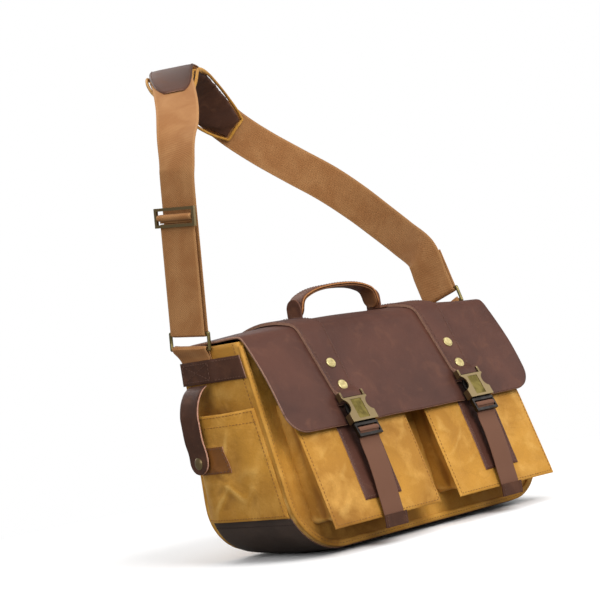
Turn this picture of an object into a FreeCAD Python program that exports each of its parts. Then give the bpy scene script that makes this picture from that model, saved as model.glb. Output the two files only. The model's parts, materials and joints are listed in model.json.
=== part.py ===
"""Canvas camera bag with a leather flap, two buckled pockets and a shoulder strap.

Millimetres. Origin at the middle of the base, +X to the right as the front is seen,
-Y to the front, +Z up. The bag's back stands upright and its front leans back.
"""
import FreeCAD
import Part
import math
import os

Vec = FreeCAD.Vector

# body of the bag
WIDTH = 400.0
DEPTH = 150.0
HEIGHT = 236.0
FRONT_LEAN = 0.229          # how far the front moves back for each mm of height
CORNER_R = 60.0
CANVAS = 3.0                # canvas with its foam and lining
BASE_WRAP = 45.0            # height of the leather base up the sides
RIM_WIDTH = 6.0
RIM_PROUD = 3.0
RIM_DROP = 8.0               # below the top of the panels
LEATHER = 2.5
GAP = 0.3                   # clearance between pieces that move past each other

# padded insert
INSERT_WALL = 8.0
INSERT_TOP = 185.0
INSERT_GAP = 1.0
DIVIDER_X = 62.0
DIVIDER_DROP = 10.0
DIVIDER_GAP = 0.5

# front pockets
POCKET_WIDTH = 164.0
POCKET_CENTRE = 98.0
POCKET_LOW = 24.0
POCKET_BEND = 127.0
POCKET_TOP = 162.0
POCKET_LOW_DEPTH = 40.5
POCKET_BEND_DEPTH = 28.6
POCKET_TOP_DEPTH = 19.2
SEAM_LIP = 4.0
POCKET_WALL = 2.0
PANEL_WIDTH = 55.0
PANEL_LOW = 46.0

# flap
FLAP_WIDTH = 392.0
FLAP_CROWN = 9.0
FLAP_PIVOT_LIFT = 0.3
FLAP_FOLD_OUT = 2.0         # front fold stands out from the top of the front panel
FLAP_FOLD_UP = 3.5
FLAP_FRONT_LENGTH = 127.0
FLAP_SLANT = 27.1           # degrees from upright
FLAP_CORNER_R = 25.0
ROOT_WIDTH = 376.0
ROOT_REACH = 40.0           # down the back panel
ROOT_DROP = 4.3
STRAP_TOP_WIDTH = 40.0
STRAP_X = 96.0
STRAP_REAR_GAP = 6.0
RIVET_PLACES = (52.0, 81.0)
RIVET_R = 6.3
RIVET_HEIGHT = 3.0

# side release buckle, placed along and out from the flap
BUCKLE_WEB = 30.0
BUCKLE_START = 92.0
BUCKLE_BAR_START = 93.4
BUCKLE_BAR = 3.0
BUCKLE_BAR_OUT = 7.4
BUCKLE_SLOT_END = 100.0
BUCKLE_END = 130.0
BUCKLE_BACK = 5.5
BUCKLE_FRONT = 14.0
BUCKLE_SHELL = 2.0
EAR_HALF = 18.0
WAIST_HALF = 12.5
COLLAR_HALF = 19.0
COLLAR_LENGTH = 11.0
FRAME_LENGTH = 16.4
FRAME_HALF = 17.5
FRAME_RAIL = 3.4
TONGUE_HALF = 8.0
TONGUE_TOP = 108.0
PRONG_TOP = 104.6
PRONG_IN = 10.5
PRONG_OUT = 15.4
BARB_OUT = 16.4
MALE_BACK = 6.6
MALE_FRONT = 11.0
CROSS_BAR_R = 1.5
NOTCH_HALF = 17.2

# side bands, pockets and tabs
BAND_DROP = 14.0
BAND_WIDTH = 26.0
WEB_WIDTH = 50.0
WEB = 2.0
RING_BACK_GAP = 2.0         # from the webbing's edge to the back of the bag
LOOP_TAIL = 24.0
TOUCH = 0.05                # between soft faces that lie on each other
SIDE_POCKET_LOW = 41.0
SIDE_POCKET_TOP = 163.0
SIDE_BULGE_LOW = 8.0
SIDE_BULGE_TOP = 24.0
TAB_Y = 47.0
TAB_WIDTH = 30.0
TAB = 3.2
SNAP_Z = 110.0
SNAP_CAP_R = 6.8
STUD_R = 2.6
SOCKET_R = 3.1
SNAP_GAP = 2.9             # from the patch to the tab at the snap
PATCH = 1.5

# shoulder strap and its hardware
WIRE_R = 2.0
RING_HEIGHT = 18.0
RING_OUT = 8.8              # ring centre from the side of the bag
RING_RISE = 14.0            # ring's lower bar above the leather band
RING_TWIST = 10.0
LEFT_LEAN = -6.2            # degrees that each strap end leans to the back
RIGHT_LEAN = 18.0
EYE_GAP = 0.15
SLIDER_UP = 130.0
SLIDER_HEIGHT = 22.0
SLIDER_BAR = 3.4
STRAIGHT_LEFT = 165.0
STRAIGHT_RIGHT = 60.0
SEWN_TAIL = 55.0
PAD_WIDTH = 64.0
PAD_THICK = 8.0
CAP_WIDTH = 54.0
CAP_THICK = 2.2
PAD_GAP = 0.8

# handle on the flap
HANDLE_Y = 28.0
HANDLE_HALF_SPAN = 60.0
HANDLE_WIDTH = 24.0
HANDLE_RISE = 22.0
HANDLE_LEATHER = 3.0
HANDLE_CORE = 2.4
HANDLE_FOOT = 12.0

# sizes that follow from those above
HALF = WIDTH / 2
BACK = DEPTH / 2
CANVAS_Y = CANVAS * math.hypot(1.0, FRONT_LEAN)
SIN_SLANT = math.sin(math.radians(FLAP_SLANT))
COS_SLANT = math.cos(math.radians(FLAP_SLANT))
FOLD_Y = -DEPTH / 2 + FRONT_LEAN * HEIGHT - FLAP_FOLD_OUT
FOLD_Z = HEIGHT + FLAP_FOLD_UP
PIVOT_Z = HEIGHT + FLAP_PIVOT_LIFT
STRAP_OUTER = LEATHER + 2 * 2.2
RIM_TOP = HEIGHT - RIM_DROP
ROOT_LOW = HEIGHT - ROOT_REACH
BAND_TOP = HEIGHT - BAND_DROP
BAND_LOW = BAND_TOP - BAND_WIDTH
RING_X = HALF + RING_OUT
RING_Y = BACK - RING_BACK_GAP - WEB_WIDTH / 2
RING_LOW = BAND_TOP + RING_RISE
EYE_IN = WIRE_R + EYE_GAP
EYE_OUT = EYE_IN + WEB

# route of the strap over the shoulder, from the left run to the right one, as X, Y and the
# height above the rings, with the way that its outer face looks at each point
SHOULDER_ROUTE = (
    ((-203, 27, 206), (-0.97, -0.25, 0.0)),
    ((-192, 35, 230), (-0.90, -0.40, 0.1)),
    ((-175, 49, 253), (-0.75, -0.60, 0.3)),
    ((-156, 68, 275), (-0.60, -0.60, 0.5)),
    ((-136, 92, 296), (-0.45, -0.50, 0.75)),
    ((-114, 120, 315), (-0.30, -0.30, 0.9)),
    ((-88, 151, 331), (-0.15, -0.12, 1.0)),
    ((-59, 183, 341), (-0.05, 0.0, 1.0)),
    ((-27, 213, 344), (0.0, 0.15, 1.0)),
    ((6, 240, 339), (0.05, 0.35, 0.95)),
    ((38, 261, 325), (0.1, 0.60, 0.8)),
    ((71, 274, 305), (0.15, 0.80, 0.55)),
    ((106, 277, 280), (0.25, 0.93, 0.3)),
    ((141, 267, 252), (0.40, 0.90, 0.15)),
    ((173, 245, 222), (0.60, 0.80, 0.1)),
    ((198, 214, 191), (0.80, 0.60, 0.05)),
    ((211, 178, 158), (0.93, 0.36, 0.0)),
    ((214, 140, 126), (0.97, 0.24, 0.0)),
    ((212, 105, 99), (0.98, 0.20, 0.0)),
)
PAD_FIRST = 4
PAD_LAST = 12


def box(x0, x1, y0, y1, z0, z1):
    """Box between two corners."""
    return Part.makeBox(x1 - x0, y1 - y0, z1 - z0, Vec(x0, y0, z0))


def face_of(points):
    """Flat face with straight edges through the points."""
    corners = [Vec(*p) for p in points]
    return Part.Face(Part.makePolygon(corners + corners[:1]))


def bar_x(profile, x0, x1):
    """Solid with a (y, z) profile, from x0 to x1."""
    return face_of([(x0, y, z) for y, z in profile]).extrude(Vec(x1 - x0, 0, 0))


def bar_y(profile, y0, y1):
    """Solid with an (x, z) profile, from y0 to y1."""
    return face_of([(x, y0, z) for x, z in profile]).extrude(Vec(0, y1 - y0, 0))


def rod(radius, start, end):
    """Round bar between two points."""
    way = Vec(*end) - Vec(*start)
    return Part.makeCylinder(radius, way.Length, Vec(*start), way)


def joined(first, *others):
    """One solid from pieces that touch."""
    return first.fuse(list(others)).removeSplitter()


def mirror_x(shape):
    """The same shape on the other side of the bag."""
    return shape.mirror(Vec(0, 0, 0), Vec(1, 0, 0))


def placed(shape, origin, first, second, third):
    """Takes a shape drawn on its own three axes to where those axes stand on the bag."""
    if first.cross(second).dot(third) < 0:
        shape = mirror_x(shape)
        first = first * -1
    matrix = FreeCAD.Matrix(first.x, second.x, third.x, origin.x,
                            first.y, second.y, third.y, origin.y,
                            first.z, second.z, third.z, origin.z)
    moved = shape.copy()
    moved.Placement = FreeCAD.Placement(matrix).multiply(moved.Placement)
    return moved


def front_y(z):
    """Where the front panel's outer face is at a height."""
    return -DEPTH / 2 + FRONT_LEAN * z


def outline(half, low, high, radius):
    """Face in the XZ plane with two round lower corners."""
    turn = radius * (1 - math.sqrt(0.5))
    edges = []
    for side in (-1, 1):
        upright = Part.LineSegment(Vec(side * half, 0, high), Vec(side * half, 0, low + radius))
        corner = Part.Arc(Vec(side * half, 0, low + radius), Vec(side * (half - turn), 0, low + turn),
                          Vec(side * (half - radius), 0, low))
        edges += [upright.toShape(), corner.toShape()]
    foot = Part.LineSegment(Vec(-half + radius, 0, low), Vec(half - radius, 0, low))
    top = Part.LineSegment(Vec(-half, 0, high), Vec(half, 0, high))
    edges += [foot.toShape(), top.toShape()]
    return Part.Face(Part.Wire(Part.__sortEdges__(edges)))


def between(half, low, high, radius, front, back):
    """Block of the bag's outline, from `front` behind the front face to y = back."""
    face = outline(half, low, high, radius)
    face.translate(Vec(0, -2 * DEPTH, 0))
    block = face.extrude(Vec(0, 4 * DEPTH, 0))
    side = [(front_y(low) + front, low), (back, low), (back, high), (front_y(high) + front, high)]
    return block.common(bar_x(side, -half - 1, half + 1))


def ring_between(depth_in, front, back, high):
    """The outline's edge, `depth_in` wide, as a U between two places."""
    outer = between(HALF, 0, high, CORNER_R, front, back)
    inner = between(HALF - depth_in, depth_in, high + 1, CORNER_R - depth_in, front - 1, back + 1)
    return outer.cut(inner)


def shell_parts():
    """Front and back panels, gusset sides and leather base."""
    front = between(HALF, 0, HEIGHT, CORNER_R, 0, BACK)
    front = front.cut(between(HALF + 1, -1, HEIGHT + 1, CORNER_R, CANVAS_Y, BACK + 1))
    back = between(HALF, 0, HEIGHT, CORNER_R, 0, BACK)
    back = back.common(box(-HALF, HALF, BACK - CANVAS, BACK, 0, HEIGHT))
    gusset = ring_between(CANVAS, CANVAS_Y, BACK - CANVAS, HEIGHT)
    upper = gusset.common(box(-HALF, 0, -DEPTH, DEPTH, BASE_WRAP, HEIGHT))
    base = gusset.common(box(-HALF, HALF, -DEPTH, DEPTH, 0, BASE_WRAP))
    return {
        "front_panel": front,
        "back_panel": back,
        "side_gusset_left": upper,
        "side_gusset_right": mirror_x(upper),
        "base_panel": base,
        "front_rim": ring_between(RIM_WIDTH, -RIM_PROUD, DEPTH, RIM_TOP).cut(
            between(HALF + 1, -1, HEIGHT + 1, CORNER_R, 0, DEPTH + 1)),
        "back_rim": ring_between(RIM_WIDTH, CANVAS_Y, BACK + RIM_PROUD, RIM_TOP).cut(
            between(HALF + 1, -1, HEIGHT + 1, CORNER_R, CANVAS_Y - 1, BACK)),
    }


def insert_parts():
    """Padded tray inside the bag and its two dividers."""
    skin = CANVAS + INSERT_GAP
    wall = skin + INSERT_WALL
    lean = CANVAS_Y / CANVAS
    tray = between(HALF - skin, skin, INSERT_TOP, CORNER_R - skin, skin * lean, BACK - skin)
    tray = tray.cut(between(HALF - wall, wall, INSERT_TOP + 1, CORNER_R - wall,
                            wall * lean, BACK - wall))
    clear = wall + DIVIDER_GAP
    cell = between(HALF - clear, clear, INSERT_TOP - DIVIDER_DROP, CORNER_R - clear,
                   clear * lean, BACK - clear)
    divider = cell.common(box(-DIVIDER_X - INSERT_WALL / 2, -DIVIDER_X + INSERT_WALL / 2,
                              -DEPTH, DEPTH, 0, HEIGHT))
    return {
        "insert_tray": tray,
        "divider_left": divider,
        "divider_right": mirror_x(divider),
    }


def pocket_face(out):
    """(y, z) points up a front pocket's face, `out` in front of it."""
    places = ((POCKET_LOW, POCKET_LOW_DEPTH), (POCKET_BEND, POCKET_BEND_DEPTH),
              (POCKET_TOP, POCKET_TOP_DEPTH))
    return [(front_y(z) - depth - out, z) for z, depth in places]


def front_pocket():
    """Left front pocket: its face, its gusset and the leather panel on it."""
    x0 = -POCKET_CENTRE - POCKET_WIDTH / 2
    x1 = -POCKET_CENTRE + POCKET_WIDTH / 2
    face = bar_x(pocket_face(0) + pocket_face(-POCKET_WALL)[::-1], x0, x1)
    seat = [(front_y(POCKET_TOP), POCKET_TOP), (front_y(POCKET_LOW), POCKET_LOW)]
    solid = bar_x(pocket_face(-POCKET_WALL) + seat, x0, x1)
    low = POCKET_LOW + SEAM_LIP
    ring = box(x0 + SEAM_LIP, x1 - SEAM_LIP, -DEPTH, DEPTH, low, POCKET_TOP)
    inset = SEAM_LIP + POCKET_WALL
    ring = ring.cut(box(x0 + inset, x1 - inset, -DEPTH, DEPTH, low + POCKET_WALL, HEIGHT))
    panel = bar_x(pocket_face(POCKET_WALL) + pocket_face(0)[::-1],
                  -POCKET_CENTRE - PANEL_WIDTH / 2, -POCKET_CENTRE + PANEL_WIDTH / 2)
    panel = panel.common(box(-HALF, 0, -DEPTH, 0, PANEL_LOW, POCKET_TOP - SEAM_LIP))
    return face, solid.common(ring), panel


def flap_point(along, out):
    """(y, z) on the front of the flap: down from its fold, and out from its inner face."""
    return (FOLD_Y - along * SIN_SLANT - out * COS_SLANT,
            FOLD_Z - along * COS_SLANT + out * SIN_SLANT)


def on_flap(shape, x):
    """Takes a shape drawn as (across, along, out) to its place on the flap."""
    down = Vec(0, -SIN_SLANT, -COS_SLANT)
    out = Vec(0, -COS_SLANT, SIN_SLANT)
    return placed(shape, Vec(x, FOLD_Y, FOLD_Z), Vec(1, 0, 0), down, out)


def top_arc(out):
    """Edge over the bag's top at a distance out from the flap's inner face."""
    rear = Vec(0, BACK, PIVOT_Z)
    front = Vec(0, FOLD_Y, FOLD_Z)
    crown = (rear + front) * 0.5 + Vec(0, 0, FLAP_CROWN)
    circle = Part.Circle(rear, crown, front)
    centre = circle.Center
    places = [centre + (p - centre).normalize() * (circle.Radius + out) for p in (rear, crown, front)]
    return Part.Arc(*places).toShape()


def top_skin(inner, outer, x0, x1, rear_gap, front_gap):
    """Leather over the top between two distances from the flap's inner face."""
    low = top_arc(inner)
    high = top_arc(outer)
    ends = [Part.LineSegment(low.Vertexes[i].Point, high.Vertexes[i].Point).toShape() for i in (0, 1)]
    face = Part.Face(Part.Wire(Part.__sortEdges__([low, high] + ends)))
    face.translate(Vec(x0, 0, 0))
    solid = face.extrude(Vec(x1 - x0, 0, 0))
    keep = box(x0 - 1, x1 + 1, FOLD_Y + front_gap, BACK - rear_gap, 0, 2 * HEIGHT)
    return solid.common(keep)


def flap_front_skin():
    """Front of the flap, with round corners and a notch behind each buckle."""
    half = FLAP_WIDTH / 2
    low = FLAP_FRONT_LENGTH
    turn = FLAP_CORNER_R * (1 - math.sqrt(0.5))
    edges = [Part.LineSegment(Vec(-half, GAP / 2, 0), Vec(half, GAP / 2, 0)).toShape(),
             Part.LineSegment(Vec(-half + FLAP_CORNER_R, low, 0),
                              Vec(half - FLAP_CORNER_R, low, 0)).toShape()]
    for side in (-1, 1):
        above = Vec(side * half, low - FLAP_CORNER_R, 0)
        corner = Part.Arc(above, Vec(side * (half - turn), low - turn, 0),
                          Vec(side * (half - FLAP_CORNER_R), low, 0))
        upright = Part.LineSegment(Vec(side * half, GAP / 2, 0), above)
        edges += [upright.toShape(), corner.toShape()]
    skin = Part.Face(Part.Wire(Part.__sortEdges__(edges))).extrude(Vec(0, 0, LEATHER))
    for x in (-STRAP_X, STRAP_X):
        skin = skin.cut(box(x - NOTCH_HALF, x + NOTCH_HALF, PRONG_TOP - 2, low + 1, -1, LEATHER + 1))
    return on_flap(skin, 0)


def front_strap():
    """Leather strap down the flap, folded back round the buckle's bar."""
    wide = STRAP_TOP_WIDTH / 2
    narrow = BUCKLE_WEB / 2
    end = BUCKLE_START - 2
    start = GAP / 2
    plan = face_of([(-wide, start, LEATHER), (wide, start, LEATHER), (narrow, end, LEATHER),
                    (-narrow, end, LEATHER)])
    layers = plan.extrude(Vec(0, 0, STRAP_OUTER - LEATHER))
    fold = box(-narrow, narrow, end, BUCKLE_SLOT_END - GAP, LEATHER + 0.2, BUCKLE_FRONT - BUCKLE_SHELL)
    bar_end = BUCKLE_BAR_START + BUCKLE_BAR
    hole = box(-narrow, narrow, BUCKLE_BAR_START, bar_end, BUCKLE_BAR_OUT, BUCKLE_BAR_OUT + BUCKLE_BAR)
    return joined(layers, fold).cut(hole)


def rivets():
    """Two domed rivets on the strap of one side."""
    heads = []
    for along in RIVET_PLACES:
        radius = (RIVET_R ** 2 + RIVET_HEIGHT ** 2) / (2 * RIVET_HEIGHT)
        ball = Part.makeSphere(radius, Vec(0, along, STRAP_OUTER + RIVET_HEIGHT - radius))
        heads.append(ball.common(box(-RIVET_R - 1, RIVET_R + 1, along - RIVET_R - 1,
                                     along + RIVET_R + 1, STRAP_OUTER, BUCKLE_FRONT)))
    return heads


def cover_outline():
    """Waisted outline of the buckle's cover, below its slot."""
    waist = BUCKLE_SLOT_END + 13
    collar = BUCKLE_END - COLLAR_LENGTH
    edges = []
    for side in (-1, 1):
        curve = Part.Arc(Vec(side * EAR_HALF, BUCKLE_SLOT_END + 2, 0),
                         Vec(side * WAIST_HALF, waist - 3, 0), Vec(side * COLLAR_HALF, collar, 0))
        edges += [
            Part.LineSegment(Vec(side * EAR_HALF, BUCKLE_SLOT_END, 0),
                             Vec(side * EAR_HALF, BUCKLE_SLOT_END + 2, 0)).toShape(),
            curve.toShape(),
            Part.LineSegment(Vec(side * COLLAR_HALF, collar, 0),
                             Vec(side * COLLAR_HALF, BUCKLE_END, 0)).toShape(),
        ]
    for half, along in ((EAR_HALF, BUCKLE_SLOT_END), (COLLAR_HALF, BUCKLE_END)):
        edges.append(Part.LineSegment(Vec(-half, along, 0), Vec(half, along, 0)).toShape())
    return Part.Face(Part.Wire(Part.__sortEdges__(edges)))


def buckle_cover():
    """Cast cover, open at the back: front wall, ears with the strap bar, and collar."""
    wall = cover_outline().extrude(Vec(0, 0, BUCKLE_SHELL))
    wall.translate(Vec(0, 0, BUCKLE_FRONT - BUCKLE_SHELL))
    ear_in = BUCKLE_WEB / 2 + GAP
    collar_in = COLLAR_HALF - BUCKLE_SHELL
    collar = BUCKLE_END - COLLAR_LENGTH
    pieces = [box(-ear_in - 0.1, ear_in + 0.1, BUCKLE_BAR_START, BUCKLE_BAR_START + BUCKLE_BAR,
                  BUCKLE_BAR_OUT, BUCKLE_BAR_OUT + BUCKLE_BAR)]
    for side in (-1, 1):
        ear_x = sorted((side * ear_in, side * EAR_HALF))
        pieces.append(box(*ear_x, BUCKLE_START, BUCKLE_SLOT_END + 2, BUCKLE_BACK + 0.8,
                          BUCKLE_FRONT - 1.0))
        cheek_x = sorted((side * collar_in, side * COLLAR_HALF))
        pieces.append(box(*cheek_x, collar, BUCKLE_END, BUCKLE_BACK, BUCKLE_FRONT - 1.0))
    cover = joined(wall, *pieces)
    recess = box(-TONGUE_HALF, TONGUE_HALF, BUCKLE_SLOT_END + 3, BUCKLE_END - 3,
                 BUCKLE_FRONT - 0.6, BUCKLE_FRONT + 1)
    return cover.cut(recess)


def buckle_frame():
    """Dark frame that the closure webbing is sewn to, with its guide tongue."""
    start = BUCKLE_END + 0.8
    end = start + FRAME_LENGTH
    frame = box(-FRAME_HALF, FRAME_HALF, start, end, MALE_BACK, MALE_FRONT)
    window_half = BUCKLE_WEB / 2 + GAP
    frame = frame.cut(box(-window_half, window_half, start + FRAME_RAIL, end - FRAME_RAIL,
                          0, BUCKLE_FRONT))
    along, out = cross_bar_place()
    bar = rod(CROSS_BAR_R, (-window_half - 0.5, along, out), (window_half + 0.5, along, out))
    tongue = box(-TONGUE_HALF, TONGUE_HALF, TONGUE_TOP, start + 0.5, MALE_BACK + 0.8, MALE_FRONT - 0.8)
    return joined(frame, bar, tongue)


def cross_bar_place():
    """(along, out) of the bar that the closure webbing goes round."""
    return BUCKLE_END + 0.8 + FRAME_LENGTH / 2, (MALE_BACK + MALE_FRONT) / 2


def prong_pivot():
    """(across, along) of the root where a prong bends."""
    return (PRONG_IN + PRONG_OUT) / 2, BUCKLE_END + 0.8 - GAP - (PRONG_OUT - PRONG_IN) / 2


def prong():
    """One sprung arm of the buckle, on the +X side, with a round root and a barb."""
    across, along = prong_pivot()
    root_r = (PRONG_OUT - PRONG_IN) / 2
    low = MALE_BACK + 0.8
    rise = MALE_FRONT - 0.8 - low
    root = Part.makeCylinder(root_r, rise, Vec(across, along, low))
    collar = BUCKLE_END - COLLAR_LENGTH
    plan = [(PRONG_IN, along), (PRONG_OUT, along), (PRONG_OUT, collar - 0.6), (BARB_OUT, collar - 1.6),
            (BARB_OUT, PRONG_TOP + 6), (PRONG_OUT - 1.5, PRONG_TOP), (PRONG_IN, PRONG_TOP + 1)]
    arm = face_of([(x, y, low) for x, y in plan]).extrude(Vec(0, 0, rise))
    return joined(root, arm)


def strip_x(points, thick, x0, x1):
    """Strap of one thickness whose middle follows (y, z) points, from x0 to x1."""
    sides = ([], [])
    for i, (y, z) in enumerate(points):
        before = points[max(i - 1, 0)]
        after = points[min(i + 1, len(points) - 1)]
        way = math.hypot(after[0] - before[0], after[1] - before[1])
        across = (-(after[1] - before[1]) / way, (after[0] - before[0]) / way)
        for sign, side in zip((1, -1), sides):
            side.append((y + sign * across[0] * thick / 2, z + sign * across[1] * thick / 2))
    return bar_x(sides[0] + sides[1][::-1], x0, x1)


def closure_route():
    """(y, z) points of the closure webbing from the buckle's frame to the pocket's foot."""
    along, out = cross_bar_place()
    top = flap_point(along, out - CROSS_BAR_R - WEB / 2)
    leave = flap_point(along + FRAME_LENGTH / 2 + 3, MALE_BACK - WEB * 1.2)
    foot_y = pocket_face(POCKET_WALL)[0][0] - WEB / 2 - 0.2
    panel_y = front_y(PANEL_LOW) - POCKET_LOW_DEPTH - POCKET_WALL - WEB / 2
    return [top, leave, (leave[0] - 6.5, leave[1] - 20), (panel_y - 0.5, PANEL_LOW + 18),
            (panel_y - 1.2, PANEL_LOW - 2), (foot_y - 0.6, POCKET_LOW + 4), (foot_y - 0.6, POCKET_LOW - 10)]


def closure_webbing():
    """Webbing from the buckle's frame down to the foot of the pocket."""
    half = BUCKLE_WEB / 2
    along, out = cross_bar_place()
    eye_r = CROSS_BAR_R + EYE_GAP
    eye = rod(eye_r + WEB * 0.75, (-half, along, out), (half, along, out))
    eye = eye.cut(rod(eye_r, (-half - 1, along, out), (half + 1, along, out)))
    strap = strip_x(closure_route(), WEB, -half - STRAP_X, half - STRAP_X)
    web = joined(on_flap(eye, -STRAP_X), strap)
    return web.cut(on_flap(rod(eye_r, (-half - 1, along, out), (half + 1, along, out)), -STRAP_X))


def closure_patch():
    """Leather end of the closure webbing, below the pocket's front edge."""
    half = BUCKLE_WEB / 2 + 2
    y = closure_route()[-1][0] - WEB / 2
    return box(-STRAP_X - half, -STRAP_X + half, y - POCKET_WALL, y, POCKET_LOW - 12, POCKET_LOW + 2)


def side_band():
    """Leather band over the top of the left side, raised over the webbing's tail."""
    tail = 2 * WEB
    rear = RING_Y + WEB_WIDTH / 2
    front = RING_Y - WEB_WIDTH / 2
    plan = [(-HALF, BACK), (-HALF - tail - LEATHER, BACK), (-HALF - tail - LEATHER, front - 2),
            (-HALF - LEATHER, front - 12), (-HALF - LEATHER, -DEPTH), (-HALF, -DEPTH)]
    band = face_of([(x, y, BAND_LOW) for x, y in plan]).extrude(Vec(0, 0, BAND_TOP - BAND_LOW))
    side = [(front_y(BAND_LOW), BAND_LOW), (BACK, BAND_LOW), (BACK, BAND_TOP), (front_y(BAND_TOP), BAND_TOP)]
    band = band.common(bar_x(side, -2 * HALF, 0))
    return band.cut(box(-HALF - tail, -HALF, front, rear, BAND_LOW, BAND_TOP))


def run_frame(side):
    """Origin at a ring's lower bar, with the outward, bar and upward ways of that strap end."""
    lean = math.radians(LEFT_LEAN if side < 0 else RIGHT_LEAN)
    twist = math.radians(RING_TWIST)
    up = Vec(0, math.sin(lean), math.cos(lean))
    bar = Vec(math.sin(twist), -math.cos(twist), 0)
    bar = (bar - up * bar.dot(up)).normalize()
    out = bar.cross(up) * (1 if side < 0 else -1)
    return Vec(side * RING_X, RING_Y, RING_LOW), out, bar, up


def on_run(shape, side):
    """Takes a shape drawn as (out, along the bar, up) to a strap end."""
    return placed(shape, *run_frame(side))


def run_point(side, out_mm, bar_mm, up_mm):
    """Place on a strap end, from its own distances."""
    origin, out, bar, up = run_frame(side)
    return origin + out * out_mm + bar * bar_mm + up * up_mm


def side_loop(side):
    """Webbing loop that ties a ring to the bag, its tail under the leather band."""
    half = WEB_WIDTH / 2
    tail = 2 * WEB
    inner = side * (HALF + TOUCH)
    outer = side * (HALF + tail - TOUCH)
    x0, x1 = sorted((inner, outer))
    flat = box(x0, x1, RING_Y - half, RING_Y + half, BAND_TOP - LOOP_TAIL, BAND_TOP)
    foot = inner + side * WEB / 2
    low = [Vec(foot, RING_Y - half, BAND_TOP), Vec(outer, RING_Y - half, BAND_TOP),
           Vec(outer, RING_Y + half, BAND_TOP), Vec(foot, RING_Y + half, BAND_TOP)]
    neck = -EYE_IN - WEB * 0.6
    high = [run_point(side, -tail / 2, half, neck), run_point(side, tail / 2, half, neck),
            run_point(side, tail / 2, -half, neck), run_point(side, -tail / 2, -half, neck)]
    wires = [Part.makePolygon(corners + corners[:1]) for corners in (low, high)]
    neck_solid = Part.makeLoft(wires, True, True)
    eye = rod(EYE_OUT, (0, -half, 0), (0, half, 0)).cut(rod(EYE_IN, (0, -half - 1, 0), (0, half + 1, 0)))
    loop = joined(flat, neck_solid, on_run(eye, side))
    return loop.cut(box(-HALF - TOUCH, HALF + TOUCH, -DEPTH, DEPTH, 0, HEIGHT + RIM_PROUD))


def wire_ring(side):
    """Rectangular wire ring between the bag's loop and the strap."""
    half = WEB_WIDTH / 2 + 0.6 + WIRE_R
    pieces = []
    for up in (0, RING_HEIGHT):
        pieces.append(rod(WIRE_R, (0, -half, up), (0, half, up)))
        pieces += [Part.makeSphere(WIRE_R, Vec(0, end * half, up)) for end in (-1, 1)]
    pieces += [rod(WIRE_R, (0, end * half, 0), (0, end * half, RING_HEIGHT)) for end in (-1, 1)]
    return on_run(joined(*pieces), side)


def under_eye(half):
    """Half turn of webbing under a ring's upper bar."""
    tube = rod(EYE_OUT, (0, -half, RING_HEIGHT), (0, half, RING_HEIGHT))
    tube = tube.cut(rod(EYE_IN, (0, -half - 1, RING_HEIGHT), (0, half + 1, RING_HEIGHT)))
    return tube.common(box(-EYE_OUT, EYE_OUT, -half, half, 0, RING_HEIGHT))


def section(centre, way, look, width, low, high):
    """Rectangle across a strap: `width` wide, between two heights along its outer face's way."""
    across = way.cross(look).normalize()
    out = across.cross(way).normalize()
    corners = [centre + across * (sx * width / 2) + out * h
               for sx, h in ((-1, low), (1, low), (1, high), (-1, high))]
    return Part.makePolygon(corners + corners[:1])


def stations():
    """Centres, ways and looks of the strap's main layer, from the left ring to the right."""
    layer = EYE_IN + WEB / 2
    left_out = run_frame(-1)[1]
    right_out = run_frame(1)[1]
    left = [run_point(-1, -layer, 0, RING_HEIGHT + d) for d in (0, STRAIGHT_LEFT * 0.5, STRAIGHT_LEFT)]
    right = [run_point(1, -layer, 0, RING_HEIGHT + d) for d in (STRAIGHT_RIGHT, 0)]
    route = [(c, left_out) for c in left]
    route += [(Vec(*c) + Vec(0, 0, RING_LOW), Vec(*look)) for c, look in SHOULDER_ROUTE]
    route += [(c, right_out) for c in right]
    ways = []
    for i in range(len(route)):
        before = route[max(i - 1, 0)][0]
        after = route[min(i + 1, len(route) - 1)][0]
        ways.append((after - before).normalize())
    ways[0] = ways[1] = ways[2] = run_frame(-1)[3]
    ways[-1] = ways[-2] = run_frame(1)[3] * -1
    return [(c, way, look) for (c, look), way in zip(route, ways)]


def strap_webbing():
    """Long webbing of the shoulder strap, with its turn under each ring's upper bar."""
    half = WEB_WIDTH / 2
    wires = [section(c, way, look, WEB_WIDTH, -WEB / 2, WEB / 2) for c, way, look in stations()]
    ribbon = Part.makeLoft(wires, True, True)
    tail = box(EYE_IN, EYE_OUT, -half, half, RING_HEIGHT, RING_HEIGHT + SEWN_TAIL)
    sewn = box(-EYE_IN, EYE_IN, -half, half, RING_HEIGHT + SEWN_TAIL - 10, RING_HEIGHT + SEWN_TAIL)
    right = joined(under_eye(half), tail, sewn)
    return joined(ribbon, on_run(under_eye(half), -1), on_run(right, 1))


def slider_bar_place():
    """(out, up) of the slider's middle bar on the left run."""
    return EYE_OUT + 0.45 + SLIDER_BAR / 2, RING_HEIGHT + SLIDER_UP


def strap_return():
    """Webbing that comes back up from the left ring and is sewn round the slider's bar."""
    half = WEB_WIDTH / 2
    out, up = slider_bar_place()
    hole_r = SLIDER_BAR / 2 + EYE_GAP
    layer = box(EYE_IN, EYE_OUT, -half, half, RING_HEIGHT, up - SLIDER_HEIGHT / 2 - 2)
    neck = bar_y([(EYE_IN, up - SLIDER_HEIGHT / 2 - 2), (EYE_OUT, up - SLIDER_HEIGHT / 2 - 2),
                  (EYE_OUT, up), (EYE_IN, up)], -half, half)
    eye = rod(hole_r + WEB * 0.75, (out, -half, up), (out, half, up))
    web = joined(layer, neck, eye).cut(rod(hole_r, (out, -half - 1, up), (out, half + 1, up)))
    return on_run(web, -1)


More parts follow.
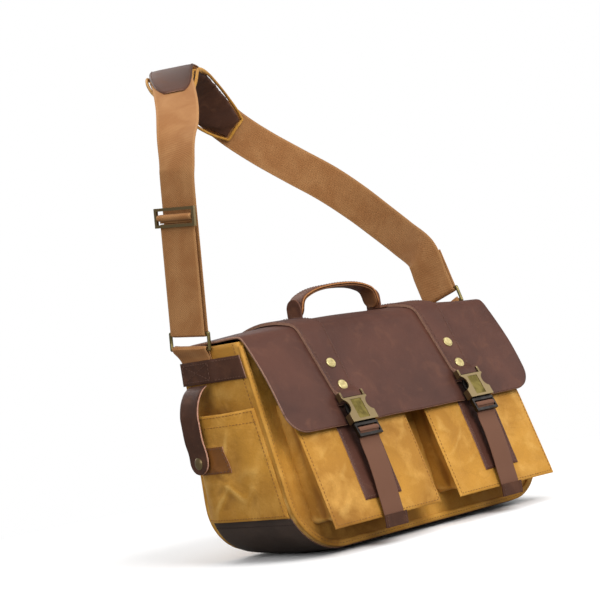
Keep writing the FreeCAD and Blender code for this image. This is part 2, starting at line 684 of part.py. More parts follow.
def strap_slider():
    """Three-bar slider that sets the strap's length."""
    out, up = slider_bar_place()
    half = WEB_WIDTH / 2 + 0.6
    rail = SLIDER_BAR
    body = box(out - rail / 2, out + rail / 2, -half - rail, half + rail,
               up - SLIDER_HEIGHT / 2, up + SLIDER_HEIGHT / 2)
    body = body.cut(box(out - rail, out + rail, -half, half,
                        up - SLIDER_HEIGHT / 2 + rail, up + SLIDER_HEIGHT / 2 - rail))
    bar = rod(rail / 2, (out, -half - 0.5, up), (out, half + 0.5, up))
    return on_run(joined(body, bar), -1)


def pad_layers():
    """Shoulder pad under the strap and the leather cap over it."""
    first = len(stations()) - len(SHOULDER_ROUTE) - 2
    chosen = stations()[first + PAD_FIRST:first + PAD_LAST + 1]
    pad = []
    cap = []
    for i, (c, way, look) in enumerate(chosen):
        share = 2.0 * i / (len(chosen) - 1) - 1.0
        round_off = math.sqrt(1 - 0.75 * abs(share) ** 4)
        pad.append(section(c, way, look, PAD_WIDTH * round_off, -WEB / 2 - PAD_GAP - PAD_THICK, -WEB / 2 - PAD_GAP))
        cap.append(section(c, way, look, CAP_WIDTH * round_off, WEB / 2 + PAD_GAP, WEB / 2 + PAD_GAP + CAP_THICK))
    return Part.makeLoft(pad, True, True), Part.makeLoft(cap, True, True)


def side_pocket():
    """Left side pocket: a bellows that stands out most at its top and rear."""
    def plan(z, bulge, inset):
        x = -HALF + (0.0 if inset == 0 else 1.0)
        front = front_y(z) + 4 + inset
        rear = BACK - 3 - inset
        out = -HALF - bulge + inset
        corners = [(x, front), (out * 0.5 - HALF * 0.5 + inset * 0.2, (front * 2 + rear) / 3),
                   (out, rear - 14), (x, rear)]
        return Part.makePolygon([Vec(a, b, z) for a, b in corners + corners[:1]])
    outer = Part.makeLoft([plan(SIDE_POCKET_LOW, SIDE_BULGE_LOW, 0),
                           plan(SIDE_POCKET_TOP, SIDE_BULGE_TOP, 0)], True, True)
    inner = Part.makeLoft([plan(SIDE_POCKET_LOW + CANVAS, SIDE_BULGE_LOW, CANVAS),
                           plan(SIDE_POCKET_TOP + 0.5, SIDE_BULGE_TOP, CANVAS)], True, True)
    return outer.cut(inner).common(box(-2 * HALF, -HALF, -DEPTH, DEPTH, 0, HEIGHT))


def side_slope(z):
    """How far the side pocket's outer face stands out at a height, at the tab."""
    share = (z - SIDE_POCKET_LOW) / (SIDE_POCKET_TOP - SIDE_POCKET_LOW)
    return HALF + SIDE_BULGE_LOW + (SIDE_BULGE_TOP - SIDE_BULGE_LOW) * share


def tab_pivot():
    """(x, z) of the line where the left tab bends under its band."""
    return -HALF - 2 * WEB - LEATHER - 1.0, BAND_LOW - GAP - TAB / 2


def tab_route():
    """(x, z) points of the left tab from the band to its round end."""
    x, z = tab_pivot()
    flat = -side_slope(SNAP_Z) - PATCH - SNAP_GAP - TAB / 2
    return [(x, z), (x - 8, z - 5), (x - 16, z - 16), (x - 20, z - 30), (x - 20, z - 42),
            (flat - 3, SNAP_Z + 25), (flat, SNAP_Z + 9), (flat, SNAP_Z - 13)]


def side_tab():
    """Leather tab that buttons the side pocket."""
    route = tab_route()
    strap = strip_x(route, TAB, -TAB_WIDTH / 2, TAB_WIDTH / 2)
    strap.rotate(Vec(0, 0, 0), Vec(0, 0, 1), 90)
    strap.translate(Vec(0, TAB_Y, 0))
    strap = mirror_x(strap)
    nose_x, nose_z = route[0]
    nose = rod(TAB / 2, (nose_x, TAB_Y - TAB_WIDTH / 2, nose_z), (nose_x, TAB_Y + TAB_WIDTH / 2, nose_z))
    flat = route[-1][0]
    hole = rod(2.1, (flat - 9, TAB_Y, SNAP_Z), (flat + 9, TAB_Y, SNAP_Z))
    end_keep = rod(TAB_WIDTH / 2, (-2 * HALF, TAB_Y, SNAP_Z + 2), (-HALF, TAB_Y, SNAP_Z + 2))
    end_keep = joined(end_keep, box(-2 * HALF, -HALF, 0, BACK * 2, SNAP_Z + 2, HEIGHT))
    return joined(strap, nose).common(end_keep).cut(hole)


def snap_cap():
    """Snap on the tab: domed cap outside, socket inside."""
    flat = tab_route()[-1][0]
    outer = flat - TAB / 2
    inner = flat + TAB / 2
    radius = (SNAP_CAP_R ** 2 + 4) / 4
    dome = Part.makeSphere(radius, Vec(outer - 2 + radius, TAB_Y, SNAP_Z))
    dome = dome.common(box(outer - 3, outer, 0, BACK, 0, HEIGHT))
    shank = rod(2.0, (outer - 0.5, TAB_Y, SNAP_Z), (inner + 0.5, TAB_Y, SNAP_Z))
    socket = rod(SNAP_CAP_R - 1.5, (inner, TAB_Y, SNAP_Z), (inner + 1.6, TAB_Y, SNAP_Z))
    socket = socket.cut(rod(SOCKET_R, (inner + 0.6, TAB_Y, SNAP_Z), (inner + 3, TAB_Y, SNAP_Z)))
    return joined(dome, shank, socket)


def snap_seat(pocket):
    """Leather patch on the side pocket and the stud that stands on it."""
    low = SNAP_Z - 14
    high = SNAP_Z + 16
    profile = [(-side_slope(low) - PATCH, low), (-side_slope(low) + 6, low),
               (-side_slope(high) + 6, high), (-side_slope(high) - PATCH, high)]
    rear = BACK - 3 - 14
    patch = bar_y(profile, rear - 42, rear)
    patch = patch.cut(pocket.translated(Vec(-2 * TOUCH, 0, 0)))
    patch = max(patch.Solids, key=lambda s: -s.CenterOfMass.x)
    tip = tab_route()[-1][0] + TAB / 2 + 0.9
    stud = rod(STUD_R, (tip, TAB_Y, SNAP_Z), (-side_slope(SNAP_Z) + 1, TAB_Y, SNAP_Z))
    stud = max(stud.cut(pocket).cut(patch).Solids, key=lambda s: -s.CenterOfMass.x)
    return patch, stud


def arch(inner, outer):
    """(x, z) solid of the handle between two distances from its middle line."""
    foot = handle_axis_z()
    top = foot + HANDLE_RISE
    curves = []
    for off in (inner, outer):
        half = HANDLE_HALF_SPAN + off
        curves.append([Part.Arc(Vec(-half, 0, foot), Vec(0, 0, top + off), Vec(half, 0, foot)).toShape()])
    low, high = curves[0][0], curves[1][0]
    ends = [Part.LineSegment(low.Vertexes[i].Point, high.Vertexes[i].Point).toShape() for i in (0, 1)]
    face = Part.Face(Part.Wire(Part.__sortEdges__([low, high] + ends)))
    face.translate(Vec(0, HANDLE_Y - HANDLE_WIDTH / 2, 0))
    return face.extrude(Vec(0, HANDLE_WIDTH, 0))


def handle_axis_z():
    """Height of the line about which the handle folds down."""
    crown = (PIVOT_Z + FOLD_Z) / 2 + FLAP_CROWN + LEATHER
    return crown + HANDLE_WIDTH / 2 + 1.0


def handle_disc(outer, thick):
    """Upright round end, `thick` along X, on the line about which the handle folds."""
    foot = handle_axis_z()
    return rod(HANDLE_WIDTH / 2, (outer, HANDLE_Y, foot), (outer + thick, HANDLE_Y, foot))


def handle_parts():
    """Handle grip with its lining, and the leather feet that hold it on the flap."""
    leather_leg = handle_disc(-HANDLE_HALF_SPAN - HANDLE_LEATHER, HANDLE_LEATHER)
    grip = joined(arch(0, HANDLE_LEATHER), leather_leg, mirror_x(leather_leg))
    core = arch(-HANDLE_CORE, 0)
    x = -HANDLE_HALF_SPAN - HANDLE_LEATHER - GAP
    post = handle_disc(x - LEATHER, LEATHER)
    post = joined(post, box(x - LEATHER, x, HANDLE_Y - HANDLE_WIDTH / 2, HANDLE_Y + HANDLE_WIDTH / 2,
                            HEIGHT, handle_axis_z()))
    sole = box(x - HANDLE_FOOT, x, HANDLE_Y - HANDLE_WIDTH / 2, HANDLE_Y + HANDLE_WIDTH / 2, HEIGHT,
               2 * HEIGHT)
    skin = top_skin(LEATHER, 2 * LEATHER, x - HANDLE_FOOT, x, 1, 1)
    above = top_skin(-FLAP_CROWN * 3, LEATHER + TOUCH, -HALF, HALF, 0, 0)
    foot = joined(skin.common(sole), post).cut(above)
    foot = max(foot.Solids, key=lambda s: s.Volume)
    return grip, core, Part.makeCompound([foot, mirror_x(foot)])


def both(name, shape):
    """A left piece and its mirror image, by name."""
    return {name + "_left": shape, name + "_right": mirror_x(shape)}


def model():
    """Every piece by its name."""
    parts = {}
    parts.update(shell_parts())
    parts.update(insert_parts())
    face, gusset, panel = front_pocket()
    parts.update(both("pocket_face", face))
    parts.update(both("pocket_gusset", gusset))
    parts.update(both("pocket_panel", panel))
    parts.update(both("closure_webbing", closure_webbing()))
    patch = closure_patch()
    parts["closure_patches"] = Part.makeCompound([patch, mirror_x(patch)])
    parts["flap_root"] = box(-ROOT_WIDTH / 2, ROOT_WIDTH / 2, BACK, BACK + LEATHER, ROOT_LOW,
                             PIVOT_Z - ROOT_DROP)
    half = FLAP_WIDTH / 2
    parts["flap_top"] = top_skin(0, LEATHER, -half, half, 0, GAP / 2)
    parts["flap_front"] = flap_front_skin()
    strap_half = STRAP_TOP_WIDTH / 2
    parts.update(both("top_strap", top_skin(LEATHER + TOUCH, STRAP_OUTER, -STRAP_X - strap_half,
                                            -STRAP_X + strap_half, STRAP_REAR_GAP, GAP / 2)))
    parts.update(both("front_strap", on_flap(front_strap(), -STRAP_X)))
    heads = [on_flap(head, x) for head in rivets() for x in (-STRAP_X, STRAP_X)]
    parts["flap_rivets"] = Part.makeCompound(heads)
    parts.update(both("buckle_cover", on_flap(buckle_cover(), -STRAP_X)))
    parts.update(both("buckle_frame", on_flap(buckle_frame(), -STRAP_X)))
    inner = on_flap(prong(), -STRAP_X)
    outer = on_flap(mirror_x(prong()), -STRAP_X)
    parts.update(both("prong_inner", inner))
    parts.update(both("prong_outer", outer))
    parts.update(both("side_band", side_band()))
    pocket = side_pocket()
    parts.update(both("side_pocket", pocket))
    seat, stud = snap_seat(pocket)
    parts["snap_patches"] = Part.makeCompound([seat, mirror_x(seat)])
    parts["snap_studs"] = Part.makeCompound([stud, mirror_x(stud)])
    parts.update(both("side_tab", side_tab()))
    parts.update(both("snap_cap", snap_cap()))
    for side, word in ((-1, "left"), (1, "right")):
        parts["side_loop_" + word] = side_loop(side)
        parts["strap_ring_" + word] = wire_ring(side)
    parts["strap_webbing"] = strap_webbing()
    parts["strap_return"] = strap_return()
    parts["strap_slider"] = strap_slider()
    parts["shoulder_pad"], parts["pad_cap"] = pad_layers()
    parts["handle_grip"], parts["handle_core"], parts["handle_feet"] = handle_parts()
    return parts


def main():
    """Writes each piece to its own file."""
    os.makedirs("parts", exist_ok=True)
    for name, shape in model().items():
        state = "ok" if shape.isValid() and shape.Volume > 0 else "BAD"
        print(f"{name:24s} {state} {len(shape.Solids)} solid {shape.Volume / 1000:9.2f} cm3")
        shape.exportStep(f"parts/{name}.step")
    lower, out, bar, up = run_frame(-1)
    print("left run", lower, "out", out, "bar", bar, "up", up)
    lower, out, bar, up = run_frame(1)
    print("right run", lower, "out", out, "bar", bar, "up", up)
    print("fold", FOLD_Y, FOLD_Z, "pivot", BACK, PIVOT_Z, "tab", tab_pivot(), "handle", handle_axis_z())
    print("prong pivot", prong_pivot(), "on flap", flap_point(prong_pivot()[1], MALE_BACK))


main()
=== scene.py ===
"""Looks of a waxed canvas camera bag with a leather flap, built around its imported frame.

Lengths are written in millimetres, as a bag maker writes them, and become metres when a
mesh is made. X runs to the right as the front is seen, -Y to the front and Z up.
"""

import json
import logging
import math
from dataclasses import dataclass, field
from enum import Enum
from typing import Sequence

import bmesh
import bpy
import numpy as np
from mathutils import Matrix, Vector

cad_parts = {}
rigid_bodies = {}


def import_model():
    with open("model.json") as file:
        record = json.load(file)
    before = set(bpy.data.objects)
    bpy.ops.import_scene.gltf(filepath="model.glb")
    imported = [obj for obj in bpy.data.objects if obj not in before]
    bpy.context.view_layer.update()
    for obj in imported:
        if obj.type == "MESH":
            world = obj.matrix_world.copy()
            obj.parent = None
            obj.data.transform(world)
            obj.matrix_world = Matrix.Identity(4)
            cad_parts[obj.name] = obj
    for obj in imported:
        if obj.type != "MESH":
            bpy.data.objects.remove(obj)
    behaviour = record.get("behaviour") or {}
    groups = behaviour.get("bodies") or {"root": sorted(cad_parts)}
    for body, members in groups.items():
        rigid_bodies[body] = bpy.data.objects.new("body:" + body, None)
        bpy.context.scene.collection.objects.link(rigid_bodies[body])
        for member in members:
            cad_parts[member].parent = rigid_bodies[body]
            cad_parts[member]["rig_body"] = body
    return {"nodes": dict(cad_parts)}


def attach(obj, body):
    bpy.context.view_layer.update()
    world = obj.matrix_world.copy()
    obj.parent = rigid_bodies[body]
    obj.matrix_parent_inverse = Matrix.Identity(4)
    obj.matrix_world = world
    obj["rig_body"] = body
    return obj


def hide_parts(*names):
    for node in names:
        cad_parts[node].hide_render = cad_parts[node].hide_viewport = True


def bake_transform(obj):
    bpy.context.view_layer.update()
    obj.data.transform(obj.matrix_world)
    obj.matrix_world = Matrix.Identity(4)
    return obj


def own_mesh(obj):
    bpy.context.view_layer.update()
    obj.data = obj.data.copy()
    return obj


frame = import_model()

Array = np.ndarray
MM = 0.001
LOG = logging.getLogger("camera_bag")

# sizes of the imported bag
HALF = 200.0
BACK = 75.0
HEIGHT = 236.0
LEAN = 0.229
CORNER = 60.0
BASE_TOP = 45.0
FLAP_HALF = 196.0
FLAP_LONG = 127.0
SLANT = math.radians(27.1)
FOLD = (-22.956, 239.5)
STRAP_X = 96.0
POCKET_X = 98.0
POCKET_LOW = 24.0
POCKET_DEEP = 40.5
PANEL_THICK = 2.0
RING_BAR = 18.0
EYE = 3.15

WEB_THICK = 1.9
CLOSURE_WIDE = 29.5
LOOP_WIDE = 48.4

# cloth that swells over padding
PUFF_FRAMES = 20
PUFF_PRESSURE = 4.0
PUFF_MASS = 0.3

# half width, start, end and depth of the shallow panel in a buckle's cover
RECESS = (7.9, 103.1, 126.9, 13.6)

# ways that surfaces look
FORWARD = np.array((0, -1, 0))
POCKET_LOOK = np.array((0, -0.97, 0.22))
FLIP_LOOK = np.array((1, 1, 1, -1, -1, -1))

# route of the shoulder strap past the left run: place, then the way its outer face looks
SHOULDER_ROUTE = np.array((
    (-203, 27, 442, -0.97, -0.25, 0.0), (-192, 35, 466, -0.90, -0.40, 0.1),
    (-175, 49, 489, -0.75, -0.60, 0.3), (-156, 68, 511, -0.60, -0.60, 0.5),
    (-136, 92, 532, -0.45, -0.50, 0.75), (-114, 120, 551, -0.30, -0.30, 0.9),
    (-88, 151, 567, -0.15, -0.12, 1.0), (-59, 183, 577, -0.05, 0.0, 1.0),
    (-27, 213, 580, 0.0, 0.15, 1.0), (6, 240, 575, 0.05, 0.35, 0.95),
    (38, 261, 561, 0.1, 0.60, 0.8), (71, 274, 541, 0.15, 0.80, 0.55),
    (106, 277, 516, 0.25, 0.93, 0.3), (141, 267, 488, 0.40, 0.90, 0.15),
    (173, 245, 458, 0.60, 0.80, 0.1), (198, 214, 427, 0.80, 0.60, 0.05),
    (211, 178, 394, 0.93, 0.36, 0.0), (214, 140, 362, 0.97, 0.24, 0.0),
    (212, 105, 335, 0.98, 0.20, 0.0)))
PAD_FIRST = 4
PAD_LAST = 12


class Side(Enum):
    """The bag's two sides, by the sign of X."""

    LEFT = -1
    RIGHT = 1

    @property
    def word(self) -> str:
        """The side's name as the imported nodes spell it."""
        return self.name.lower()


class Coords(Enum):
    """What a pattern is laid out on."""

    OBJECT = "Object"
    UV = "UV"


# ---------------------------------------------------------------- finishes


def linear(hex_colour: str) -> tuple[float, float, float, float]:
    """Turns an sRGB hex colour to linear.

    Args:
        hex_colour: Six hex digits after a #.

    Returns:
        Red, green, blue and alpha, linear.
    """
    parts = [int(hex_colour[i:i + 2], 16) / 255 for i in (1, 3, 5)]
    red, green, blue = (p / 12.92 if p <= 0.04045 else ((p + 0.055) / 1.055) ** 2.4 for p in parts)
    return red, green, blue, 1.0


def add_node(tree: bpy.types.NodeTree, kind: str, inputs: dict | None = None,
             **settings: object) -> bpy.types.Node:
    """Adds one node with its settings and links.

    Args:
        tree: The material's tree.
        kind: The node's type.
        inputs: For each input's name or number, a value or another node's output.
        settings: The node's own properties.

    Returns:
        The new node.
    """
    node = tree.nodes.new(kind)
    for key, value in settings.items():
        setattr(node, key, value)
    for key, value in (inputs or {}).items():
        if isinstance(value, bpy.types.NodeSocket):
            tree.links.new(value, node.inputs[key])
        else:
            node.inputs[key].default_value = value
    return node


def empty_tree(owner: bpy.types.Material | bpy.types.World) -> bpy.types.NodeTree:
    """Switches a material's or world's nodes on and clears them.

    Args:
        owner: The material or world.

    Returns:
        Its tree, with no node in it.
    """
    owner.use_nodes = True
    owner.node_tree.nodes.clear()
    return owner.node_tree


@dataclass(frozen=True)
class Finish:
    """What every finish shares: a name, a place for its pattern and its gloss."""

    name: str
    roughness: float = 0.6
    metallic: float = 0.0
    specular: float = 0.5
    sheen: float = 0.0
    coords: Coords = Coords.OBJECT

    def pattern(self, tree: bpy.types.NodeTree, place: bpy.types.NodeSocket) -> dict:
        """Adds the finish's own nodes.

        Args:
            tree: The material's tree.
            place: Where the pattern reads its place, in metres.

        Returns:
            Sockets by name: colour, height (mm), gloss.
        """
        raise NotImplementedError

    def material(self) -> bpy.types.Material:
        """Makes the finish's node material, once.

        Returns:
            The material.
        """
        found = bpy.data.materials.get(self.name)
        if found:
            return found
        made = bpy.data.materials.new(self.name)
        tree = empty_tree(made)
        place = add_node(tree, "ShaderNodeTexCoord").outputs[self.coords.value]
        sockets = self.pattern(tree, place)
        bump = add_node(tree, "ShaderNodeBump", {
            "Height": sockets["height"], "Distance": MM, "Strength": 1.0})
        shader = add_node(tree, "ShaderNodeBsdfPrincipled", {
            "Base Color": sockets["colour"], "Roughness": sockets.get("gloss", self.roughness),
            "Metallic": self.metallic, "Specular IOR Level": self.specular,
            "Sheen Weight": self.sheen, "Sheen Roughness": 0.5,
            "Normal": bump.outputs["Normal"]})
        add_node(tree, "ShaderNodeOutputMaterial", {"Surface": shader.outputs["BSDF"]})
        return made


def noise(tree: bpy.types.NodeTree, place: bpy.types.NodeSocket, grain_mm: float,
          detail: float = 3.0, distortion: float = 0.0) -> bpy.types.NodeSocket:
    """Cloudy pattern, 0 to 1, whose blotches are about grain_mm across."""
    return add_node(tree, "ShaderNodeTexNoise", {
        "Vector": place, "Scale": 1000.0 / grain_mm, "Detail": detail, "Roughness": 0.58,
        "Distortion": distortion}).outputs["Fac"]


def ranged(tree: bpy.types.NodeTree, value: bpy.types.NodeSocket, low: float, high: float,
           to_low: float = 0.0, to_high: float = 1.0) -> bpy.types.NodeSocket:
    """The value stretched from low..high to to_low..to_high, and kept inside."""
    return add_node(tree, "ShaderNodeMapRange", {
        "Value": value, "From Min": low, "From Max": high, "To Min": to_low,
        "To Max": to_high}).outputs["Result"]


def mixed(tree: bpy.types.NodeTree, share: bpy.types.NodeSocket, first: object,
          second: object) -> bpy.types.NodeSocket:
    """Two colours mixed by a share, where 1 gives the second."""
    return add_node(tree, "ShaderNodeMix", {0: share, 6: first, 7: second},
                    data_type="RGBA").outputs[2]


def maths(tree: bpy.types.NodeTree, way: str, *values: object) -> bpy.types.NodeSocket:
    """One sum, such as MULTIPLY, of sockets or numbers."""
    return add_node(tree, "ShaderNodeMath", dict(enumerate(values)), operation=way).outputs[0]


def threads(tree: bpy.types.NodeTree, place: bpy.types.NodeSocket, across_mm: float,
            along_mm: float) -> bpy.types.NodeSocket:
    """Draws a weave: the sine of U times the sine of V, at the thread spacings.

    Args:
        tree: The material's tree.
        place: Where the pattern reads its place, in metres.
        across_mm: From one lengthwise thread to the next.
        along_mm: From one crosswise thread to the next.

    Returns:
        Height, -1 to 1.
    """
    parts = add_node(tree, "ShaderNodeSeparateXYZ", {0: place})
    waves = [maths(tree, "SINE", maths(tree, "MULTIPLY", parts.outputs[i], math.pi * 1000 / size))
             for i, size in enumerate((across_mm, along_mm))]
    return maths(tree, "MULTIPLY", *waves)


@dataclass(frozen=True)
class WaxedCanvas(Finish):
    """Cotton canvas rubbed with wax: painted shade in its hollows, darker crease lines, paler
    rubbed patches, and wear with a painted highlight on its ridges and edges.
    """

    body: str = "#bf8830"
    shade: str = "#95641f"
    rubbed: str = "#d7a24b"
    # ridges and edges: real wear plus a painted highlight
    worn: str = "#e3b765"
    # hollows: painted shade
    deep: str = "#7f4f17"
    thread_mm: float = 1.1
    coords: Coords = Coords.UV

    def pattern(self, tree: bpy.types.NodeTree, place: bpy.types.NodeSocket) -> dict:
        """Adds blotches of wax, thin crease lines, the weave, painted shade in hollows and wear
        with a painted highlight on ridges and edges.

        Args:
            tree: The material's tree.
            place: Where the pattern reads its place, in metres.

        Returns:
            Sockets by name.
        """
        space = add_node(tree, "ShaderNodeTexCoord").outputs["Object"]
        wide = ranged(tree, noise(tree, space, 120.0, 2.0, 0.2), 0.30, 0.62)
        rubbing = ranged(tree, noise(tree, space, 34.0, 6.0, 0.25), 0.46, 0.72, 0.0, 0.75)
        vein = maths(tree, "SUBTRACT", noise(tree, space, 55.0, 3.0, 0.7), 0.5)
        vein = maths(tree, "ABSOLUTE", vein)
        crease = ranged(tree, vein, 0.0, 0.008, 1.0, 0.0)
        weave = threads(tree, place, self.thread_mm, self.thread_mm)
        colour = mixed(tree, wide, linear(self.shade), linear(self.body))
        colour = mixed(tree, rubbing, colour, linear(self.rubbed))
        bent = add_node(tree, "ShaderNodeAttribute", attribute_name="bent").outputs["Fac"]
        ragged = ranged(tree, noise(tree, space, 12.0, 4.0), 0.3, 0.7, -0.12, 0.12)
        bent = maths(tree, "ADD", bent, ragged)
        # Painted shade: the mesh's hollows go towards the deep colour.
        colour = mixed(tree, ranged(tree, bent, -0.15, -1.0, 0.0, 0.7), colour, linear(self.deep))
        # The mesh's ridges and edges pale: wear plus a painted highlight.
        colour = mixed(tree, ranged(tree, bent, 0.15, 1.0, 0.0, 0.55), colour, linear(self.worn))
        colour = mixed(tree, maths(tree, "MULTIPLY", crease, 0.2), colour, linear(self.shade))
        fleck = ranged(tree, noise(tree, space, 1.6, 2.0), 0.35, 0.65, 0.0, 0.16)
        colour = mixed(tree, fleck, colour, linear(self.shade))
        soft = maths(tree, "MULTIPLY", noise(tree, space, 30.0, 4.0, 0.3), 2.4)
        height = maths(tree, "ADD", maths(tree, "MULTIPLY", weave, 0.05), soft)
        height = maths(tree, "SUBTRACT", height, maths(tree, "MULTIPLY", crease, 0.12))
        gloss = ranged(tree, rubbing, 0.0, 1.0, self.roughness + 0.08, self.roughness - 0.1)
        return {"colour": colour, "height": height, "gloss": gloss}


@dataclass(frozen=True)
class Leather(Finish):
    """Full-grain cowhide, oiled: soft pores, cloudy colour and a dull sheen."""

    body: str = "#563327"
    dark: str = "#44271e"
    light: str = "#684333"
    grain_mm: float = 1.5
    cloud_mm: float = 90.0

    def pattern(self, tree: bpy.types.NodeTree, place: bpy.types.NodeSocket) -> dict:
        """Adds clouds, scuffs and the pores of the grain.

        Args:
            tree: The material's tree.
            place: Where the pattern reads its place, in metres.

        Returns:
            Sockets by name.
        """
        cloud = ranged(tree, noise(tree, place, self.cloud_mm, 3.0, 0.4), 0.36, 0.64)
        scuff = ranged(tree, noise(tree, place, 22.0, 6.0, 1.0), 0.54, 0.78, 0.0, 0.7)
        pores = add_node(tree, "ShaderNodeTexVoronoi", {
            "Vector": place, "Scale": 1000.0 / self.grain_mm}, feature="DISTANCE_TO_EDGE")
        pit = ranged(tree, pores.outputs["Distance"], 0.0, 0.22)
        colour = mixed(tree, cloud, linear(self.dark), linear(self.body))
        colour = mixed(tree, scuff, colour, linear(self.light))
        colour = mixed(tree, ranged(tree, pit, 0.0, 0.6, 0.16, 0.0), colour, linear(self.dark))
        soft = maths(tree, "MULTIPLY", noise(tree, place, 9.0, 4.0), 0.35)
        height = maths(tree, "ADD", maths(tree, "MULTIPLY", pit, 0.07), soft)
        gloss = ranged(tree, scuff, 0.0, 0.7, self.roughness, self.roughness + 0.12)
        return {"colour": colour, "height": height, "gloss": gloss}


@dataclass(frozen=True)
class Fibre(Finish):
    """Cut leather edge, thread or felt: short fibres of two colours."""

    body: str = "#a07c64"
    dark: str = "#7b5646"
    fibre_mm: float = 1.2

    def pattern(self, tree: bpy.types.NodeTree, place: bpy.types.NodeSocket) -> dict:
        """Adds fine fibres.

        Args:
            tree: The material's tree.
            place: Where the pattern reads its place, in metres.

        Returns:
            Sockets by name.
        """
        fuzz = noise(tree, place, self.fibre_mm, 4.0, 0.5)
        colour = mixed(tree, ranged(tree, fuzz, 0.38, 0.62), linear(self.dark), linear(self.body))
        return {"colour": colour, "height": maths(tree, "MULTIPLY", fuzz, 0.12)}


@dataclass(frozen=True)
class Webbing(Finish):
    """Heavy cotton webbing: ribs across it, cords along it and a firmer edge."""

    body: str = "#9b693c"
    # colour of the painted shade in the weave's grooves
    dark: str = "#744a26"
    edge: str = "#b48555"
    half_mm: float = 25.0
    coords: Coords = Coords.UV

    def pattern(self, tree: bpy.types.NodeTree, place: bpy.types.NodeSocket) -> dict:
        """Adds the weave, drawn a little coarse so that it shows, painted shade in the weave's
        grooves, and the selvedge.

        Args:
            tree: The material's tree.
            place: Where the pattern reads its place, in metres.

        Returns:
            Sockets by name.
        """
        space = add_node(tree, "ShaderNodeTexCoord").outputs["Object"]
        weave = threads(tree, place, 1.7, 1.3)
        # Painted shade: the weave's low grooves go towards the dark colour.
        painted_groove_shade = ranged(tree, weave, -0.9, 0.6, 0.34, 0.0)
        worn = ranged(tree, noise(tree, space, 30.0, 5.0, 0.5), 0.40, 0.68)
        across = add_node(tree, "ShaderNodeSeparateXYZ", {0: place}).outputs[0]
        across = maths(tree, "ABSOLUTE", across)
        rim = ranged(tree, across, (self.half_mm - 3.2) * MM, (self.half_mm - 2.2) * MM, 0.0, 0.6)
        worn = maths(tree, "MULTIPLY", worn, 0.55)
        colour = mixed(tree, worn, linear(self.body), linear(self.edge))
        colour = mixed(tree, rim, colour, linear(self.edge))
        colour = mixed(tree, painted_groove_shade, colour, linear(self.dark))
        return {"colour": colour, "height": maths(tree, "MULTIPLY", weave, 0.1)}


@dataclass(frozen=True)
class CastMetal(Finish):
    """Cast or drawn metal with an aged plating: patina in blotches and fine scratches."""

    body: str = "#b3a268"
    dark: str = "#6f6238"
    roughness: float = 0.3
    metallic: float = 1.0

    def pattern(self, tree: bpy.types.NodeTree, place: bpy.types.NodeSocket) -> dict:
        """Adds patina and scratches.

        Args:
            tree: The material's tree.
            place: Where the pattern reads its place, in metres.

        Returns:
            Sockets by name.
        """
        patina = ranged(tree, noise(tree, place, 9.0, 5.0, 0.6), 0.42, 0.72, 0.0, 0.75)
        scratch = noise(tree, place, 0.9, 3.0, 2.0)
        colour = mixed(tree, patina, linear(self.body), linear(self.dark))
        gloss = ranged(tree, patina, 0.0, 0.75, self.roughness, self.roughness + 0.18)
        return {"colour": colour, "height": maths(tree, "MULTIPLY", scratch, 0.02), "gloss": gloss}


@dataclass(frozen=True)
class PaddedNylon(Finish):
    """Soft brushed lining cloth of the insert."""

    body: str = "#8d7452"
    dark: str = "#6d5738"

    def pattern(self, tree: bpy.types.NodeTree, place: bpy.types.NodeSocket) -> dict:
        """Adds a brushed nap and a fine twill.

        Args:
            tree: The material's tree.
            place: Where the pattern reads its place, in metres.

        Returns:
            Sockets by name.
        """
        nap = noise(tree, place, 2.2, 5.0)
        colour = mixed(tree, ranged(tree, nap, 0.35, 0.65), linear(self.dark), linear(self.body))
        twill = maths(tree, "MULTIPLY", threads(tree, place, 1.0, 1.0), 0.03)
        height = maths(tree, "ADD", maths(tree, "MULTIPLY", nap, 0.2), twill)
        return {"colour": colour, "height": height}


WAXED = {"roughness": 0.66, "specular": 0.3, "sheen": 0.04}
OILED = {"roughness": 0.52, "specular": 0.26}
WOVEN = {"specular": 0.25, "sheen": 0.05}
CANVAS = WaxedCanvas("waxed_canvas", **WAXED)
CANVAS_PLAIN = WaxedCanvas("waxed_canvas_pad", coords=Coords.OBJECT, **WAXED)
LINING = Fibre("cotton_lining", body="#b08a55", dark="#96733f", roughness=0.85)
FLAP_HIDE = Leather("oiled_flap_leather", **OILED)
HANDLE_HIDE = Leather("handle_leather", body="#6d4530", dark="#553222", light="#80543c", **OILED)
HANDLE_LINING = Leather("handle_lining_leather", body="#7a5030", dark="#633c20", light="#94663f",
                        roughness=0.6, specular=0.25)
BAND_HIDE = Leather("dark_band_leather", body="#533222", dark="#3e2418", light="#66432f", **OILED)
BASE_HIDE = Leather("slate_base_leather", body="#46372f", dark="#352923", light="#54443b",
                    roughness=0.5, specular=0.3)
PATCH_HIDE = Leather("tan_patch_leather", body="#8f5a24", dark="#714417", light="#a87034",
                     roughness=0.55, specular=0.35)
RAW_EDGE = Fibre("cut_leather_edge", body="#a9826c", dark="#85604f", roughness=0.75)
EDGE_PAINT = Fibre("tan_edge", body="#b0743c", dark="#8c5628", roughness=0.7)
PALE_EDGE = Fibre("pale_leather_edge", body="#cf9f88", dark="#a87862", roughness=0.75)
SHOULDER_WEB = Webbing("shoulder_webbing", roughness=0.8, **WOVEN)
CLOSURE_WEB = Webbing("closure_webbing", body="#573110", dark="#3a200a", edge="#704421",
                      half_mm=15.0, roughness=0.78, **WOVEN)
BRASS = CastMetal("antique_brass")
RECESS_BRASS = CastMetal("recessed_brass", body="#82743f", dark="#4f4524", roughness=0.5)
PALE_BRASS = CastMetal("brushed_brass", body="#cdbd88", dark="#9c8a55", roughness=0.36)
WIRE_BRASS = CastMetal("aged_wire_brass", body="#83774e", dark="#4f472c", roughness=0.36)
GUNMETAL = CastMetal("gunmetal", body="#3a3735", dark="#211f1e", roughness=0.3)
